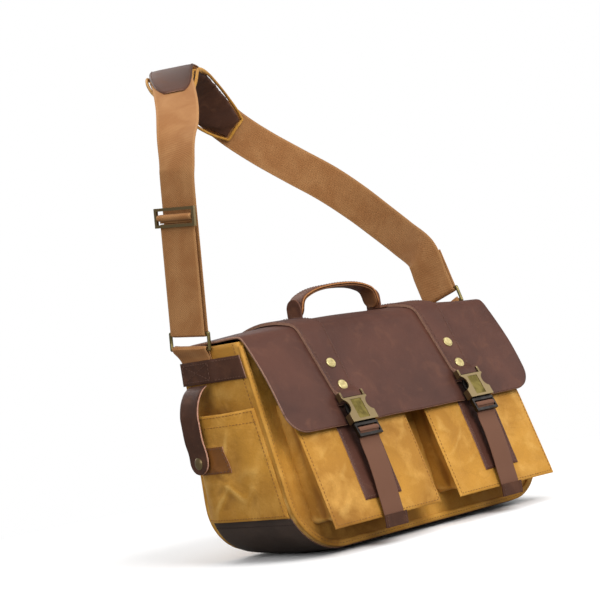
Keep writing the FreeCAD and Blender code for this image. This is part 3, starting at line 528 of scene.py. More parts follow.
SPUN = {"fibre_mm": 0.6, "roughness": 0.65}
CANVAS_THREAD = Fibre("ochre_thread", body="#99651f", dark="#6f4612", fibre_mm=0.6, roughness=0.7)
LEATHER_THREAD = Fibre("brown_thread", body="#6d4837", dark="#4a3025", **SPUN)
DARK_THREAD = Fibre("dark_thread", body="#39271f", dark="#261813", **SPUN)
INSERT_CLOTH = PaddedNylon("padded_insert_cloth", roughness=0.85, sheen=0.3)


# ---------------------------------------------------------------- shapes


def unit(vectors: Array) -> Array:
    """The vectors with their last axis scaled to a length of 1."""
    return vectors / np.maximum(np.linalg.norm(vectors, axis=-1, keepdims=True), 1e-12)


def places(x: float | Array, y: float | Array, z: float | Array) -> Array:
    """Places made of three coordinates, each a number, a row or a grid."""
    return np.stack(np.broadcast_arrays(x, y, z), -1)


def grid_faces(rows: int, columns: int, closed: bool = False) -> Array:
    """Numbers the corners of a grid's faces.

    Args:
        rows: Rows of points.
        columns: Points in a row.
        closed: Whether the last column joins the first.

    Returns:
        Four corner numbers for each face.
    """
    i = np.arange(rows - 1)[:, None]
    j = np.arange(columns if closed else columns - 1)[None, :]
    k = (j + 1) % columns
    corners = (i * columns + j, i * columns + k, (i + 1) * columns + k, (i + 1) * columns + j)
    return np.stack(corners, -1).reshape(-1, 4)


def travelled(points: Array, axis: int) -> Array:
    """Measures how far a grid of points has gone along an axis.

    Args:
        points: The grid.
        axis: Which way it is followed.

    Returns:
        A distance for each point, from 0.
    """
    steps = np.linalg.norm(np.diff(points, axis=axis), axis=-1)
    first = np.zeros_like(np.take(steps, [0], axis=axis))
    return np.cumsum(np.concatenate([first, steps], axis=axis), axis=axis)


def curve_through(points: Array, count: int) -> Array:
    """A smooth line through points (Catmull-Rom), evenly spaced along its length.

    Args:
        points: Rows whose first three columns are a place; more columns ride along.
        count: How many rows come back.

    Returns:
        The rows.
    """
    ends = np.vstack([2 * points[0] - points[1], points, 2 * points[-1] - points[-2]])
    spans = len(points) - 1
    t = np.linspace(0, spans, 30 * spans + 1)
    i = np.minimum(t.astype(int), spans - 1)
    u = (t - i)[:, None]
    a, b, c, d = (ends[i + k] for k in range(4))
    square, cube = 2 * a - 5 * b + 4 * c - d, 3 * b - a - 3 * c + d
    dense = 0.5 * (2 * b + (c - a) * u + square * u ** 2 + cube * u ** 3)
    gone = travelled(dense[:, :3], 0)
    even = np.linspace(0, gone[-1], count)
    return np.stack([np.interp(even, gone, dense[:, k]) for k in range(dense.shape[1])], 1)


def ripples(x: Array, y: Array, size_mm: float, seed: int) -> Array:
    """Adds up seven sines of seeded directions, sizes and phases.

    Args:
        x: First coordinate.
        y: Second coordinate.
        size_mm: About how long a wave is.
        seed: Seed of the draws.

    Returns:
        Soft waves, about -1 to 1.
    """
    draw = np.random.default_rng(seed)
    angle = draw.uniform(0, 2 * math.pi, 7)
    size = draw.uniform(0.7, 1.6, 7) * size_mm
    phase = draw.uniform(0, 2 * math.pi, 7)
    total = np.zeros(np.broadcast(x, y).shape)
    for a, s, p in zip(angle, size, phase):
        total = total + np.sin((x * math.cos(a) + y * math.sin(a)) * 2 * math.pi / s + p)
    return total / 3.5


def folds(x: Array, y: Array, size_mm: float, seed: int) -> Array:
    """Raises ridges along the lines where two warped sets of ripples are nil.

    Args:
        x: First coordinate.
        y: Second coordinate.
        size_mm: About how far apart the ridges are.
        seed: Seed of the draws.

    Returns:
        Crumples, about -1 to 1.
    """
    warp = ripples(x, y, 2.2 * size_mm, seed + 1) * 0.35 * size_mm
    first = np.exp(-np.abs(ripples(x + warp, y - warp, 1.5 * size_mm, seed)) * 2.0)
    second = np.exp(-np.abs(ripples(x - warp, y + warp, 2.0 * size_mm, seed + 2)) * 2.0)
    return first + 0.8 * second - 0.9


@dataclass
class Shape:
    """A mesh being put together: points in mm, four-sided faces, UVs in m and finishes."""

    points: list[Array] = field(default_factory=list)
    faces: list[Array] = field(default_factory=list)
    uvs: list[Array] = field(default_factory=list)
    marks: list[Array] = field(default_factory=list)
    bends: list[Array] = field(default_factory=list)
    count: int = 0

    def add(self, points: Array, faces: Array, uv: Array | None = None, mark: int | Array = 0,
            bent: Array | None = None) -> "Shape":
        """Adds points and faces.

        Args:
            points: Places in mm, in any grid shape.
            faces: Corner numbers of four-sided faces.
            uv: Two numbers in mm for each point.
            mark: The finish's number, for all faces or for each.
            bent: How ridged each point is, -1 in a hollow to 1 on a ridge.

        Returns:
            This shape.
        """
        flat = np.asarray(points, float).reshape(-1, 3)
        self.points.append(flat)
        self.faces.append(np.asarray(faces) + self.count)
        uv = np.zeros((len(flat), 2)) if uv is None else uv
        self.uvs.append(np.asarray(uv, float).reshape(-1, 2))
        self.marks.append(np.broadcast_to(np.asarray(mark), (len(faces),)))
        self.bends.append(np.zeros(len(flat)) if bent is None else np.asarray(bent, float).ravel())
        self.count += len(flat)
        return self

    def build(self, name: str, finishes: Sequence[Finish], weld: bool = False,
              smooth_deg: float = 40.0) -> bpy.types.Object:
        """Makes the object.

        Args:
            name: The piece's name.
            finishes: Its finishes, by the numbers that the faces hold.
            weld: Whether points in one place become one.
            smooth_deg: Edges that turn more than this stay sharp.

        Returns:
            The object, at the origin, in metres.
        """
        points = np.vstack(self.points) * MM
        faces = np.vstack(self.faces)
        mesh = bpy.data.meshes.new(name)
        mesh.vertices.add(len(points))
        mesh.vertices.foreach_set("co", points.astype(np.float32).ravel())
        mesh.loops.add(faces.size)
        mesh.loops.foreach_set("vertex_index", faces.astype(np.int32).ravel())
        mesh.polygons.add(len(faces))
        mesh.polygons.foreach_set("loop_start", np.arange(0, faces.size, 4, dtype=np.int32))
        mesh.polygons.foreach_set("material_index", np.concatenate(self.marks).astype(np.int32))
        layer = mesh.uv_layers.new(name="UVMap")
        uv = np.vstack(self.uvs)[faces.ravel()] * MM
        layer.data.foreach_set("uv", uv.astype(np.float32).ravel())
        bent = mesh.attributes.new("bent", "FLOAT", "POINT")
        bent.data.foreach_set("value", np.concatenate(self.bends).astype(np.float32))
        mesh.update(calc_edges=True)
        mesh.validate()
        if weld:
            work = bmesh.new()
            work.from_mesh(mesh)
            bmesh.ops.remove_doubles(work, verts=work.verts, dist=2e-5)
            work.to_mesh(mesh)
            work.free()
        for finish in finishes:
            mesh.materials.append(finish.material())
        mesh.shade_smooth()
        mesh.set_sharp_from_angle(angle=math.radians(smooth_deg))
        return placed(name, mesh)


def placed(name: str, data: bpy.types.ID) -> bpy.types.Object:
    """Puts a new object in the scene, at the origin.

    Args:
        name: Its name.
        data: Its mesh, lamp or camera.

    Returns:
        The object.
    """
    made = bpy.data.objects.new(name, data)
    bpy.context.scene.collection.objects.link(made)
    return made


def ridged(points: Array, normal: Array) -> Array:
    """Compares each grid point with the mean of the four points three steps away.

    Args:
        points: The grid.
        normal: The grid's outward ways.

    Returns:
        How far each point stands proud of the mean, in mm, kept to -1 to 1.
    """
    wide = np.pad(points, ((3, 3), (3, 3), (0, 0)), mode="edge")
    mean = (wide[6:, 3:-3] + wide[:-6, 3:-3] + wide[3:-3, 6:] + wide[3:-3, :-6]) / 4
    return np.clip(np.sum((points - mean) * normal, -1), -1, 1)


def facing(points: Array, look: Array) -> tuple[Array, int]:
    """Finds a grid's normals on the side that looks a given way.

    Args:
        points: The grid.
        look: The way, one vector or one for each point.

    Returns:
        The normals, and 1 or -1: the step that reads a face's corners so that it looks
        that way.
    """
    normal = unit(np.cross(np.gradient(points, axis=1), np.gradient(points, axis=0)))
    step = 1 if np.sum(normal * look) > 0 else -1
    return step * normal, step


def outward(points: Array, faces: Array) -> Array:
    """Turns a closed shape's faces to look outwards.

    Args:
        points: Its points.
        faces: Its faces, all turned alike.

    Returns:
        The faces, turned over if they looked in at the shape's middle.
    """
    corner = points.reshape(-1, 3)[faces]
    turn = np.cross(corner[:, 2] - corner[:, 0], corner[:, 3] - corner[:, 1])
    inward = np.sum(turn * (corner.mean(1) - corner.mean((0, 1)))) < 0
    return faces[:, ::-1] if inward else faces


def ways_of(path: Array) -> tuple[Array, Array, Array]:
    """Works out the frame of each station of a path.

    Args:
        path: Place and look of each station.

    Returns:
        The way along, the way across and the look made square to both.
    """
    way = unit(np.gradient(path[:, :3], axis=0))
    across = unit(np.cross(way, path[:, 3:6]))
    return way, across, np.cross(across, way)


def surface(shape: Shape, points: Array, look: Array) -> Shape:
    """Adds an open sheet, one skin thick.

    Args:
        shape: What it is added to.
        points: Grid of places.
        look: The way that it looks, one vector or one for each point.

    Returns:
        The shape.
    """
    normal, step = facing(points, look)
    uv = np.stack([travelled(points, 1), travelled(points, 0)], -1)
    faces = grid_faces(*points.shape[:2])[:, ::step]
    return shape.add(points, faces, uv, bent=ridged(points, normal))


def slab(shape: Shape, points: Array, look: Array, thick: float, mark: int = 0,
         rim: int | None = None, soft: float = 1.5) -> Shape:
    """Adds a closed sheet with soft edges.

    Args:
        shape: What it is added to.
        points: Grid of places on its outer face.
        look: The way that its outer face looks, one vector or one for each point.
        thick: Its thickness, inwards.
        mark: Finish of its faces.
        rim: Finish of its cut edge.
        soft: How far in from the edge it thins.

    Returns:
        The shape.
    """
    rows, columns = points.shape[:2]
    size = rows * columns
    normal, step = facing(points, look)
    u, v = travelled(points, 1), travelled(points, 0)
    edge = np.minimum(np.minimum(u, u[:, -1:] - u), np.minimum(v, v[-1:] - v))
    drop = (0.3 * thick * (1 - np.clip(edge / soft, 0, 1)) ** 2)[..., None]
    skins = np.stack([points - normal * drop, points - normal * (thick - drop)])
    number = np.arange(size).reshape(rows, columns)
    loop = np.concatenate([number[0, :-1], number[:-1, -1], number[-1, :0:-1], number[:0:-1, 0]])
    after = np.roll(loop, -1)
    wall = np.stack([after, loop, loop + size, after + size], -1)
    faces = grid_faces(rows, columns)
    every = np.vstack([faces, faces[:, ::-1] + size, wall])
    marks = np.repeat((mark, mark if rim is None else rim), (2 * len(faces), len(wall)))
    uv = np.stack([u, v], -1)
    bent = ridged(points, normal)
    return shape.add(skins, every[:, ::step], np.stack([uv, uv]), marks, np.stack([bent, bent]))


def strip_section(steps: int = 12, power: float = 16.0, edge: float = 0.45) -> Array:
    """Draws the closed outline of a flat strip, one wide and one thick.

    Args:
        steps: Points on each of its two faces.
        power: How late it starts to thin.
        edge: How thick its edges are.

    Returns:
        Pairs of numbers, across and out.
    """
    a = 0.5 * np.sin(np.linspace(-1, 1, steps) * math.pi / 2)
    h = 0.5 * (1 - (1 - edge) * np.abs(2 * a) ** power)
    return np.vstack([np.stack([a, h], 1), np.stack([a, -h], 1)[::-1]])


def sweep(shape: Shape, path: Array, width: float | Array, thick: float | Array, mark: int = 0,
          section: Array | None = None, rim: int | None = None) -> Shape:
    """Adds a strip carried along a path.

    Each station's frame is the path's way, the look (columns 3 to 5) made square to it,
    and their cross product.

    Args:
        shape: What it is added to.
        path: Place and look of each station.
        width: Its width, for all stations or each.
        thick: Its thickness, likewise.
        mark: Finish of its faces.
        section: Closed outline of a strip one wide and one thick.
        rim: Finish of its two long cut edges.

    Returns:
        The shape.
    """
    outline = strip_section() if section is None else section
    _, across, out = ways_of(path)
    wide = np.broadcast_to(np.asarray(width, float), (len(path),))[:, None]
    deep = np.broadcast_to(np.asarray(thick, float), (len(path),))[:, None]
    a, h = outline[None, :, 0] * wide, outline[None, :, 1] * deep
    points = path[:, None, :3] + across[:, None] * a[..., None] + out[:, None] * h[..., None]
    rows, columns = points.shape[:2]
    faces = grid_faces(rows, columns, closed=True)
    i = np.arange(columns // 2 - 1)
    cap = np.stack([i, i + 1, columns - 2 - i, columns - 1 - i], -1)
    faces = outward(points, np.vstack([faces, cap[:, ::-1], cap + (rows - 1) * columns]))
    uv = np.stack([a, np.broadcast_to(travelled(path[:, :3], 0)[:, None], a.shape)], -1)
    marks = np.full(len(faces), mark)
    if rim is not None:
        column = np.arange((rows - 1) * columns) % columns
        marks[:len(column)][(column == columns // 2 - 1) | (column == columns - 1)] = rim
    return shape.add(points, faces, uv, marks)


def stitches(shape: Shape, line: Array, look: Array, mark: int, pitch: float = 4.4,
             long: float = 3.2, radius: float = 0.42) -> Shape:
    """Adds a row of thread stitches: small capsules whose ends dip into the work.

    Args:
        shape: What they are added to.
        line: Places on the surface that the row follows.
        look: The surface's outward way, one vector or one for each place.
        mark: The thread's finish.
        pitch: From one stitch to the next.
        long: Length of a stitch.
        radius: Thread radius.

    Returns:
        The shape.
    """
    looks = np.broadcast_to(np.asarray(look, float), line.shape)
    gone = travelled(line, 0)
    count = max(int(gone[-1] / pitch), 1)
    at = (np.arange(count) + 0.5) * gone[-1] / count
    centre, before, after = (
        np.stack([np.interp(at + shift, gone, line[:, k]) for k in range(3)], 1)
        for shift in (0, -0.5, 0.5))
    way = unit(after - before)
    up = np.stack([np.interp(at, gone, looks[:, k]) for k in range(3)], 1)
    side = unit(np.cross(way, up))
    up = np.cross(side, way)
    turn = np.linspace(0, 2 * math.pi, 6, endpoint=False)
    x = np.array([-0.5, -0.32, 0.0, 0.32, 0.5])[:, None] * long
    r = np.array([0.3, 0.9, 1.0, 0.9, 0.3])[:, None] * radius
    x, c, s = np.broadcast_arrays(x, r * np.cos(turn), r * np.sin(turn))
    lift = s + radius * 0.45 - 0.28 * (2 * x / long) ** 2
    points = (centre[:, None, None] + way[:, None, None] * x[..., None]
              + side[:, None, None] * c[..., None] + up[:, None, None] * lift[..., None])
    ring = grid_faces(5, 6, closed=True)
    cap = np.array([[0, 1, 4, 5], [1, 2, 3, 4]])
    one = outward(points[0], np.vstack([ring, cap[:, ::-1], cap + 24]))
    faces = (one[None] + (np.arange(count) * 30)[:, None, None]).reshape(-1, 4)
    return shape.add(points, faces, None, mark)


def crossed_box(low: tuple[float, float], high: tuple[float, float]) -> list[Array]:
    """Lays out a sewn box with a cross in it.

    Args:
        low: Its low corner.
        high: Its high corner.

    Returns:
        Six lines of flat places.
    """
    box = [low, (high[0], low[1]), high, (low[0], high[1])]
    pairs = list(zip(box, box[1:] + box[:1])) + [(box[0], box[2]), (box[1], box[3])]
    share = np.linspace(0, 1, 40)[:, None]
    return [np.array(a) * (1 - share) + np.array(b) * share for a, b in pairs]


def thicken(piece: bpy.types.Object, thick: float, inside: int = 0, rim: int = 0) -> None:
    """Gives an open sheet a wall inwards.

    Args:
        piece: The sheet.
        thick: The wall's thickness.
        inside: How much further on in the finishes its inside is.
        rim: The same for its cut edge.
    """
    wall = piece.modifiers.new("wall", "SOLIDIFY")
    wall.thickness = thick * MM
    wall.offset = -1
    wall.material_offset = inside
    wall.material_offset_rim = rim


def settle(piece: bpy.types.Object, body: str,
           nodes: Sequence[str] = ()) -> bpy.types.Object:
    """Puts a finished piece on its body.

    Args:
        piece: The piece.
        body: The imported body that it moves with.
        nodes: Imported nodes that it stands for.

    Returns:
        The piece.
    """
    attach(piece, body)
    if nodes:
        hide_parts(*nodes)
    LOG.info("piece %s on %s", piece.name, body)
    return piece


def bend(piece: bpy.types.Object, bodies: tuple[str, str],
         nodes: Sequence[str] = ()) -> bpy.types.Object:
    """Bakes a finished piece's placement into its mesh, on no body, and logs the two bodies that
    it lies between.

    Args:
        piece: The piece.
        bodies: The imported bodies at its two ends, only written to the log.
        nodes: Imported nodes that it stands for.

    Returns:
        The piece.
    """
    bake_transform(piece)
    if nodes:
        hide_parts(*nodes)
    LOG.info("piece %s between %s", piece.name, bodies)
    return piece


def body_of(node: str) -> str:
    """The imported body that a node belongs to."""
    return frame["nodes"][node]["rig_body"]


def merged_copy(node: str, name: str) -> bpy.types.Object:
    """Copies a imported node, with its loose triangles joined and flat faces made whole.

    Args:
        node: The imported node.
        name: The copy's name.

    Returns:
        The copy, without a finish.
    """
    mesh = frame["nodes"][node].data.copy()
    mesh.name = name
    work = bmesh.new()
    work.from_mesh(mesh)
    bmesh.ops.remove_doubles(work, verts=work.verts, dist=2e-6)
    bmesh.ops.dissolve_limit(work, angle_limit=math.radians(0.8), verts=work.verts,
                             edges=work.edges)
    work.to_mesh(mesh)
    work.free()
    mesh.materials.clear()
    return placed(name, mesh)


def dressed(node: str, finish: Finish, round_mm: float,
            smooth_deg: float = 35.0) -> None:
    """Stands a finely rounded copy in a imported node's place.

    Args:
        node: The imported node.
        finish: Its finish.
        round_mm: Radius of its broken edges.
        smooth_deg: Edges that turn more than this are broken.
    """
    piece = merged_copy(node, node + "_fine")
    piece.data.materials.append(finish.material())
    piece.data.shade_smooth()
    piece.data.set_sharp_from_angle(angle=math.radians(smooth_deg))
    if round_mm:
        bevel = piece.modifiers.new("broken_edges", "BEVEL")
        bevel.width = round_mm * MM
        bevel.segments = 2
        bevel.limit_method = "ANGLE"
        bevel.angle_limit = math.radians(smooth_deg)
        bevel.use_clamp_overlap = True
        bevel.harden_normals = True
    settle(piece, body_of(node), [node])


def puff(piece: bpy.types.Object, voxel_mm: float, shrink_mm: float, cap_mm: float) -> None:
    """Blows a padded piece up as cloth round its filling.

    The piece is remeshed, drawn in along its normals, and then cloth under pressure swells
    it, with no point moving further than the cap.

    Args:
        piece: The piece.
        voxel_mm: Remeshing size.
        shrink_mm: How far it is drawn in first.
        cap_mm: The furthest that a point may move.
    """
    scene = bpy.context.scene
    remesh = piece.modifiers.new("remesh", "REMESH")
    remesh.mode = "VOXEL"
    remesh.voxel_size = voxel_mm * MM
    remesh.use_smooth_shade = True
    graph = bpy.context.evaluated_depsgraph_get()
    mesh = bpy.data.meshes.new_from_object(piece.evaluated_get(graph))
    piece.modifiers.clear()
    piece.data = mesh
    count = len(mesh.vertices)
    place, normal = np.zeros(3 * count, np.float32), np.zeros(3 * count, np.float32)
    mesh.vertices.foreach_get("co", place)
    mesh.vertices.foreach_get("normal", normal)
    start = (place - normal * shrink_mm * MM).reshape(-1, 3)
    mesh.vertices.foreach_set("co", start.ravel())
    mesh.update()
    cloth = piece.modifiers.new("cloth", "CLOTH")
    cloth.settings.use_pressure = True
    cloth.settings.uniform_pressure_force = PUFF_PRESSURE
    cloth.settings.mass = PUFF_MASS
    cloth.settings.effector_weights.gravity = 0.0
    cloth.point_cache.frame_end = PUFF_FRAMES
    for step in range(1, PUFF_FRAMES + 1):
        scene.frame_set(step)
    moved = np.zeros(3 * count, np.float32)
    swollen = piece.evaluated_get(bpy.context.evaluated_depsgraph_get()).to_mesh()
    swollen.vertices.foreach_get("co", moved)
    shift = moved.reshape(-1, 3) - start
    length = np.linalg.norm(shift, axis=1, keepdims=True)
    shift *= np.minimum(1.0, cap_mm * MM / np.maximum(length, 1e-9))
    piece.modifiers.clear()
    mesh.vertices.foreach_set("co", (start + shift).astype(np.float32).ravel())
    mesh.update()
    scene.frame_set(1)


# ---------------------------------------------------------------- the bag's body


def front_y(z: Array) -> Array:
    """Where the front panel stands at a height: it leans back as it rises."""
    return -BACK + LEAN * z


@dataclass
class BagBody:
    """Canvas shell, its folded seams and its leather base."""

    rows: int = 44
    columns: int = 56
    depth_steps: int = 30
    seam_width: float = 7.5
    seam_proud: float = 3.6

    def edge_line(self, inset: float = 0.0, top: float = HEIGHT) -> tuple[Array, Array]:
        """The U of the bag's outline, from its left top round to its right top.

        Args:
            inset: How far inside the outline.
            top: Height at which it ends.

        Returns:
            X and Z of its points. Heights in the corner follow a cosine, so that they
            crowd where the outline turns.
        """
        turn = np.linspace(0, math.pi / 2, self.rows // 3 + 1)
        low = CORNER * (1 - np.cos(turn))
        high = np.linspace(CORNER, top, self.rows - self.rows // 3 + 1)[1:]
        z = np.concatenate([low, high])
        half = HALF - CORNER + np.sqrt(np.maximum(CORNER ** 2 - np.maximum(CORNER - z, 0) ** 2, 0))
        base = np.linspace(-1, 1, self.columns + 1)[1:-1] * half[0]
        x = np.concatenate([-half[::-1], base, half])
        z = np.concatenate([z[::-1], np.zeros(len(base)), z])
        if inset:
            middle = np.clip(x, -(HALF - CORNER), HALF - CORNER)
            low_z = np.maximum(z, CORNER)
            away = unit(np.stack([x - middle, np.minimum(z - low_z, 0)], 1) + 1e-9)
            away[np.abs(x) < HALF - CORNER] = (0, -1)
            x, z = x - away[:, 0] * inset, z - away[:, 1] * inset
        return x, z

    def out_ways(self) -> Array:
        """Compares the outline with one just inside it.

        Returns:
            Outward ways in the XZ plane, one for each of its points.
        """
        x, z = self.edge_line()
        inner_x, inner_z = self.edge_line(inset=10.0)
        return unit(np.stack([x - inner_x, np.zeros_like(x), z - inner_z], 1))

    def gusset(self, lift: float = 0.0) -> Array:
        """Grid of the strip round the bag: sides that crease inwards and a base that sags.

        Args:
            lift: How far it lies outside the canvas.

        Returns:
            Places by outline point and depth.
        """
        x, z = self.edge_line()
        t = np.linspace(0, 1, self.depth_steps)[None, :]
        y = front_y(z)[:, None] * (1 - t) + BACK * t
        belly = np.sin(math.pi * t) ** 0.8
        side = np.clip((z - 30) / 60, 0, 1) * np.clip((HEIGHT - 26 - z) / 60, 0, 1)
        wave = ripples(y, z[:, None], 70.0, 3)
        crumple = folds(y, z[:, None] + x[:, None], 46.0, 61)
        sink = belly * side[:, None] * (-2.4 + 1.4 * wave + 1.5 * crumple)
        base = np.clip(1 - z / 40, 0, 1)[:, None]
        sag = belly * base * (3.4 + 0.8 * ripples(x[:, None], y, 90.0, 5))
        shift = sink + sag + lift
        ways = self.out_ways()
        return places(x[:, None], y, z[:, None]) + ways[:, None] * shift[..., None]

    def panel(self, front: bool) -> Array:
        """Lays out the front or back panel, with a soft belly that ends at its seams.

        Args:
            front: Whether it is the front.

        Returns:
            Places by height and distance across.
        """
        x, z = self.edge_line()
        height = z[-(self.rows + 1):][:, None]
        u = np.linspace(-1, 1, self.columns + 1)[None, :]
        across = x[-(self.rows + 1):][:, None] * u
        v = height / HEIGHT
        calm = (1 - u ** 6) * np.minimum(1, v * 7)
        belly = calm * (2.2 * np.sin(math.pi * np.clip(v, 0, 1))
                        + 0.7 * ripples(across, height, 80.0, 7)
                        + 0.9 * folds(across, height, 60.0, 8))
        y = front_y(height) - belly if front else BACK + np.clip(belly, -1.0, 1.9)
        return places(across, y, height)

    def make_shell(self) -> None:
        """Front, gusset and back as one lofted shell with a lining inside."""
        shape = Shape()
        surface(shape, self.panel(True), FORWARD)
        surface(shape, self.panel(False), -FORWARD)
        surface(shape, self.gusset(), self.out_ways()[:, None])
        shell = shape.build("bag_shell", (CANVAS, LINING), weld=True, smooth_deg=50)
        thicken(shell, 2.6, inside=1)
        settle(shell, "bag",
               ["front_panel", "back_panel", "side_gusset_left", "side_gusset_right"])

    def make_seams(self) -> None:
        """The folded seams that stand round the front and the back, each with its stitches."""
        for name, node, way in (("front_seam", "front_rim", -1), ("back_seam", "back_rim", 1)):
            shape = Shape()
            x, z = self.edge_line(inset=3.4, top=231.0)
            y = front_y(z) if way < 0 else np.full_like(z, BACK)
            wobble = 0.35 * ripples(x + z, z - x, 60.0, 11 + way)
            line = np.stack([x, y + way * (self.seam_proud / 2 - 0.4) + wobble * 0.4, z], 1)
            path = np.hstack([line, np.tile((0.0, float(way), 0.0), (len(line), 1))])
            path = curve_through(path[::2], 260)
            sweep(shape, path, self.seam_width, self.seam_proud + 0.8,
                  section=strip_section(8, 4, 0.3))
            top = path[:, :3] + np.array((0, way * (self.seam_proud / 2 + 0.25), 0))
            stitches(shape, top, np.array((0, way, 0)), 1)
            ways = self.out_ways()
            gx, gz = self.edge_line()
            beside = places(gx, (front_y(gz) if way < 0 else BACK) - way * 7.0, gz) + ways * 0.6
            keep = gz > BASE_TOP + 2
            for part in (keep & (gx < 0), keep & (gx > 0)):
                stitches(shape, beside[part], ways[part], 1)
            seam = shape.build(name, (CANVAS, CANVAS_THREAD))
            settle(seam, "bag", [node])

    def make_base(self) -> None:
        """Leather base that wraps up the corners, with a stitched top edge."""
        chosen = self.edge_line()[1] <= BASE_TOP + 1.0
        base = self.gusset(lift=2.0)[chosen][:, 1:-1]
        ways = self.out_ways()[chosen]
        shape = slab(Shape(), base, ways[:, None], 2.6, 0, 1)
        for row in (1, -2):
            stitches(shape, base[row] + ways[row] * 0.1, ways[row], 2)
        piece = shape.build("leather_base", (BASE_HIDE, RAW_EDGE, DARK_THREAD))
        settle(piece, "bag", ["base_panel"])

    def make(self) -> None:
        """Makes the body's pieces."""
        self.make_shell()
        self.make_seams()
        self.make_base()


@dataclass
class FrontPocket:
    """A bellows pocket on the front with its leather panel and closure webbing."""

    side: Side
    half: float = 82.0
    low: float = POCKET_LOW
    top: float = 162.0
    lip: float = 4.0
    corner: float = 7.0
    fold: float = 4.2
    panel_half: float = 27.5
    panel_low: float = 46.0
    panel_top: float = 158.0
    bar_along: float = 139.0
    bar_out: float = 8.8

    def depth(self, z: Array) -> Array:
        """How far the face stands off the front panel: three straight runs, softened."""
        heights, depths = (self.low, 127.0, self.top), (POCKET_DEEP, 28.6, 19.2)
        return sum(np.interp(z + shift, heights, depths) for shift in (-7, 0, 7)) / 3

    def face(self, across: Array, z: Array, out: float = 0.0) -> Array:
        """Places on the pocket's face: it puffs out each side of the leather panel.

        Args:
            across: Distance from the pocket's middle.
            z: Height.
            out: How far outside the canvas.

        Returns:
            Places.
        """
        u = across / self.half
        v = (z - self.low) / (self.top - self.low)
        calm = (np.clip((1 - np.abs(u)) * 6, 0, 1) * np.clip(v * 8, 0, 1)
                * np.clip((1 - v) * 8 + 0.25, 0, 1))
        pressed = 1 - 0.8 * np.exp(-(across / 36.0) ** 2)
        puffed = 3.6 * (1 - np.abs(u) ** 3) * np.sin(math.pi * np.clip(v, 0, 1)) ** 0.7 * pressed
        seed = 21 if self.side is Side.LEFT else 22
        crumple = 0.5 * ripples(across, z, 42.0, seed) + 0.7 * folds(across, z, 46.0, seed + 60)
        puffed = puffed + calm * pressed * crumple
        y = front_y(z) - self.depth(z) - puffed - out
        return places(self.side.value * POCKET_X + across, y, z)

    def grid(self, half: float, low: float, top: float, out: float, columns: int,
             rows: int) -> Array:
        """Lays out part of the face, with close lines at its edges.

        Args:
            half: Half its width.
            low: Its lowest height.
            top: Its highest height.
            out: How far outside the canvas.
            columns: Lines across, but for two close ones.
            rows: Lines up, but for two close ones.

        Returns:
            Places.
        """
        near = 1 - 1.2 / half
        u = np.concatenate([[-1, -near], np.linspace(-1, 1, columns)[1:-1], [near, 1]]) * half
        z = np.concatenate([[low, low + 1.2], np.linspace(low, top, rows)[1:-1], [top - 1.2, top]])
        return self.face(u[None, :], z[:, None], out)

    def make_face(self) -> None:
        """Canvas face with a pinched, edge-stitched border and a hem."""
        face = self.grid(self.half, self.low, self.top, 0.0, 60, 52)
        shape = slab(Shape(), face, FORWARD, 2.2)
        z = np.linspace(self.low + 3, self.top - 1, 120)
        for across in (-self.half + 3.2, self.half - 3.2):
            stitches(shape, self.face(across, z), POCKET_LOOK, 1)
        u = np.linspace(-self.half + 3, self.half - 3, 120)
        for height in (self.low + 3.2, self.top - 12.0, self.top - 2.6):
            stitches(shape, self.face(u, height), POCKET_LOOK, 1)
        word = self.side.word
        piece = shape.build("pocket_front_" + word, (CANVAS, CANVAS_THREAD))
        settle(piece, "bag", ["pocket_face_" + word])

    def make_gusset(self) -> None:
        """Bellows round three sides, folded inwards along its middle."""
        inset = self.lip + 0.6
        down = np.linspace(self.top - 1, self.low + inset + self.corner, 34)
        turn = np.linspace(0, math.pi / 2, 7)[1:-1]
        corner_x = self.half - inset - self.corner * (1 - np.cos(turn))
        corner_z = self.low + inset + self.corner * (1 - np.sin(turn))
        floor = np.linspace(-1, 1, 40) * (self.half - inset - self.corner)
        a = np.concatenate([np.full(34, -(self.half - inset)), -corner_x, floor, corner_x[::-1],
                            np.full(34, self.half - inset)])
        z = np.concatenate([down, corner_z, np.full(40, self.low + inset), corner_z[::-1],
                            down[::-1]])
        away = unit(np.stack([np.gradient(z), np.zeros_like(z), -np.gradient(a)], 1))
        away = away * np.where(np.sum(away * np.stack([a, 0 * a, z - 95.0], 1)) > 0, 1, -1)
        t = np.linspace(0, 1, 16)[None, :]
        back = front_y(z)[:, None] - 0.4
        front = (front_y(z) - self.depth(z))[:, None] + 1.2
        y = back * (1 - t) + front * t
        fold = self.fold + 1.2 * ripples(z[:, None], a[:, None], 55.0, 31)
        fold = (1 - np.abs(2 * t - 1)) ** 1.2 * fold
        points = places(self.side.value * POCKET_X + a[:, None], y, z[:, None])
        points = points - away[:, None] * fold[..., None]
        shape = slab(Shape(), points, away[:, None], 1.8)
        word = self.side.word
        piece = shape.build("pocket_bellows_" + word, (CANVAS,))
        settle(piece, "bag", ["pocket_gusset_" + word])

    def make_panel(self) -> None:
        """Leather panel down the middle of the face."""
        face = self.grid(self.panel_half, self.panel_low, self.panel_top, PANEL_THICK, 16, 36)
        shape = slab(Shape(), face, FORWARD, 2.2, 0, 1)
        z = np.linspace(self.panel_low + 2.5, self.panel_top - 1, 100)
        for across in (-self.panel_half + 2.6, self.panel_half - 2.6):
            stitches(shape, self.face(across, z, PANEL_THICK), POCKET_LOOK, 2)
        u = np.linspace(-self.panel_half + 3, self.panel_half - 3, 30)
        stitches(shape, self.face(u, self.panel_low + 2.6, PANEL_THICK), POCKET_LOOK, 2)
        word = self.side.word
        piece = shape.build("pocket_leather_" + word, (FLAP_HIDE, RAW_EDGE, LEATHER_THREAD))
        settle(piece, "bag", ["pocket_panel_" + word])

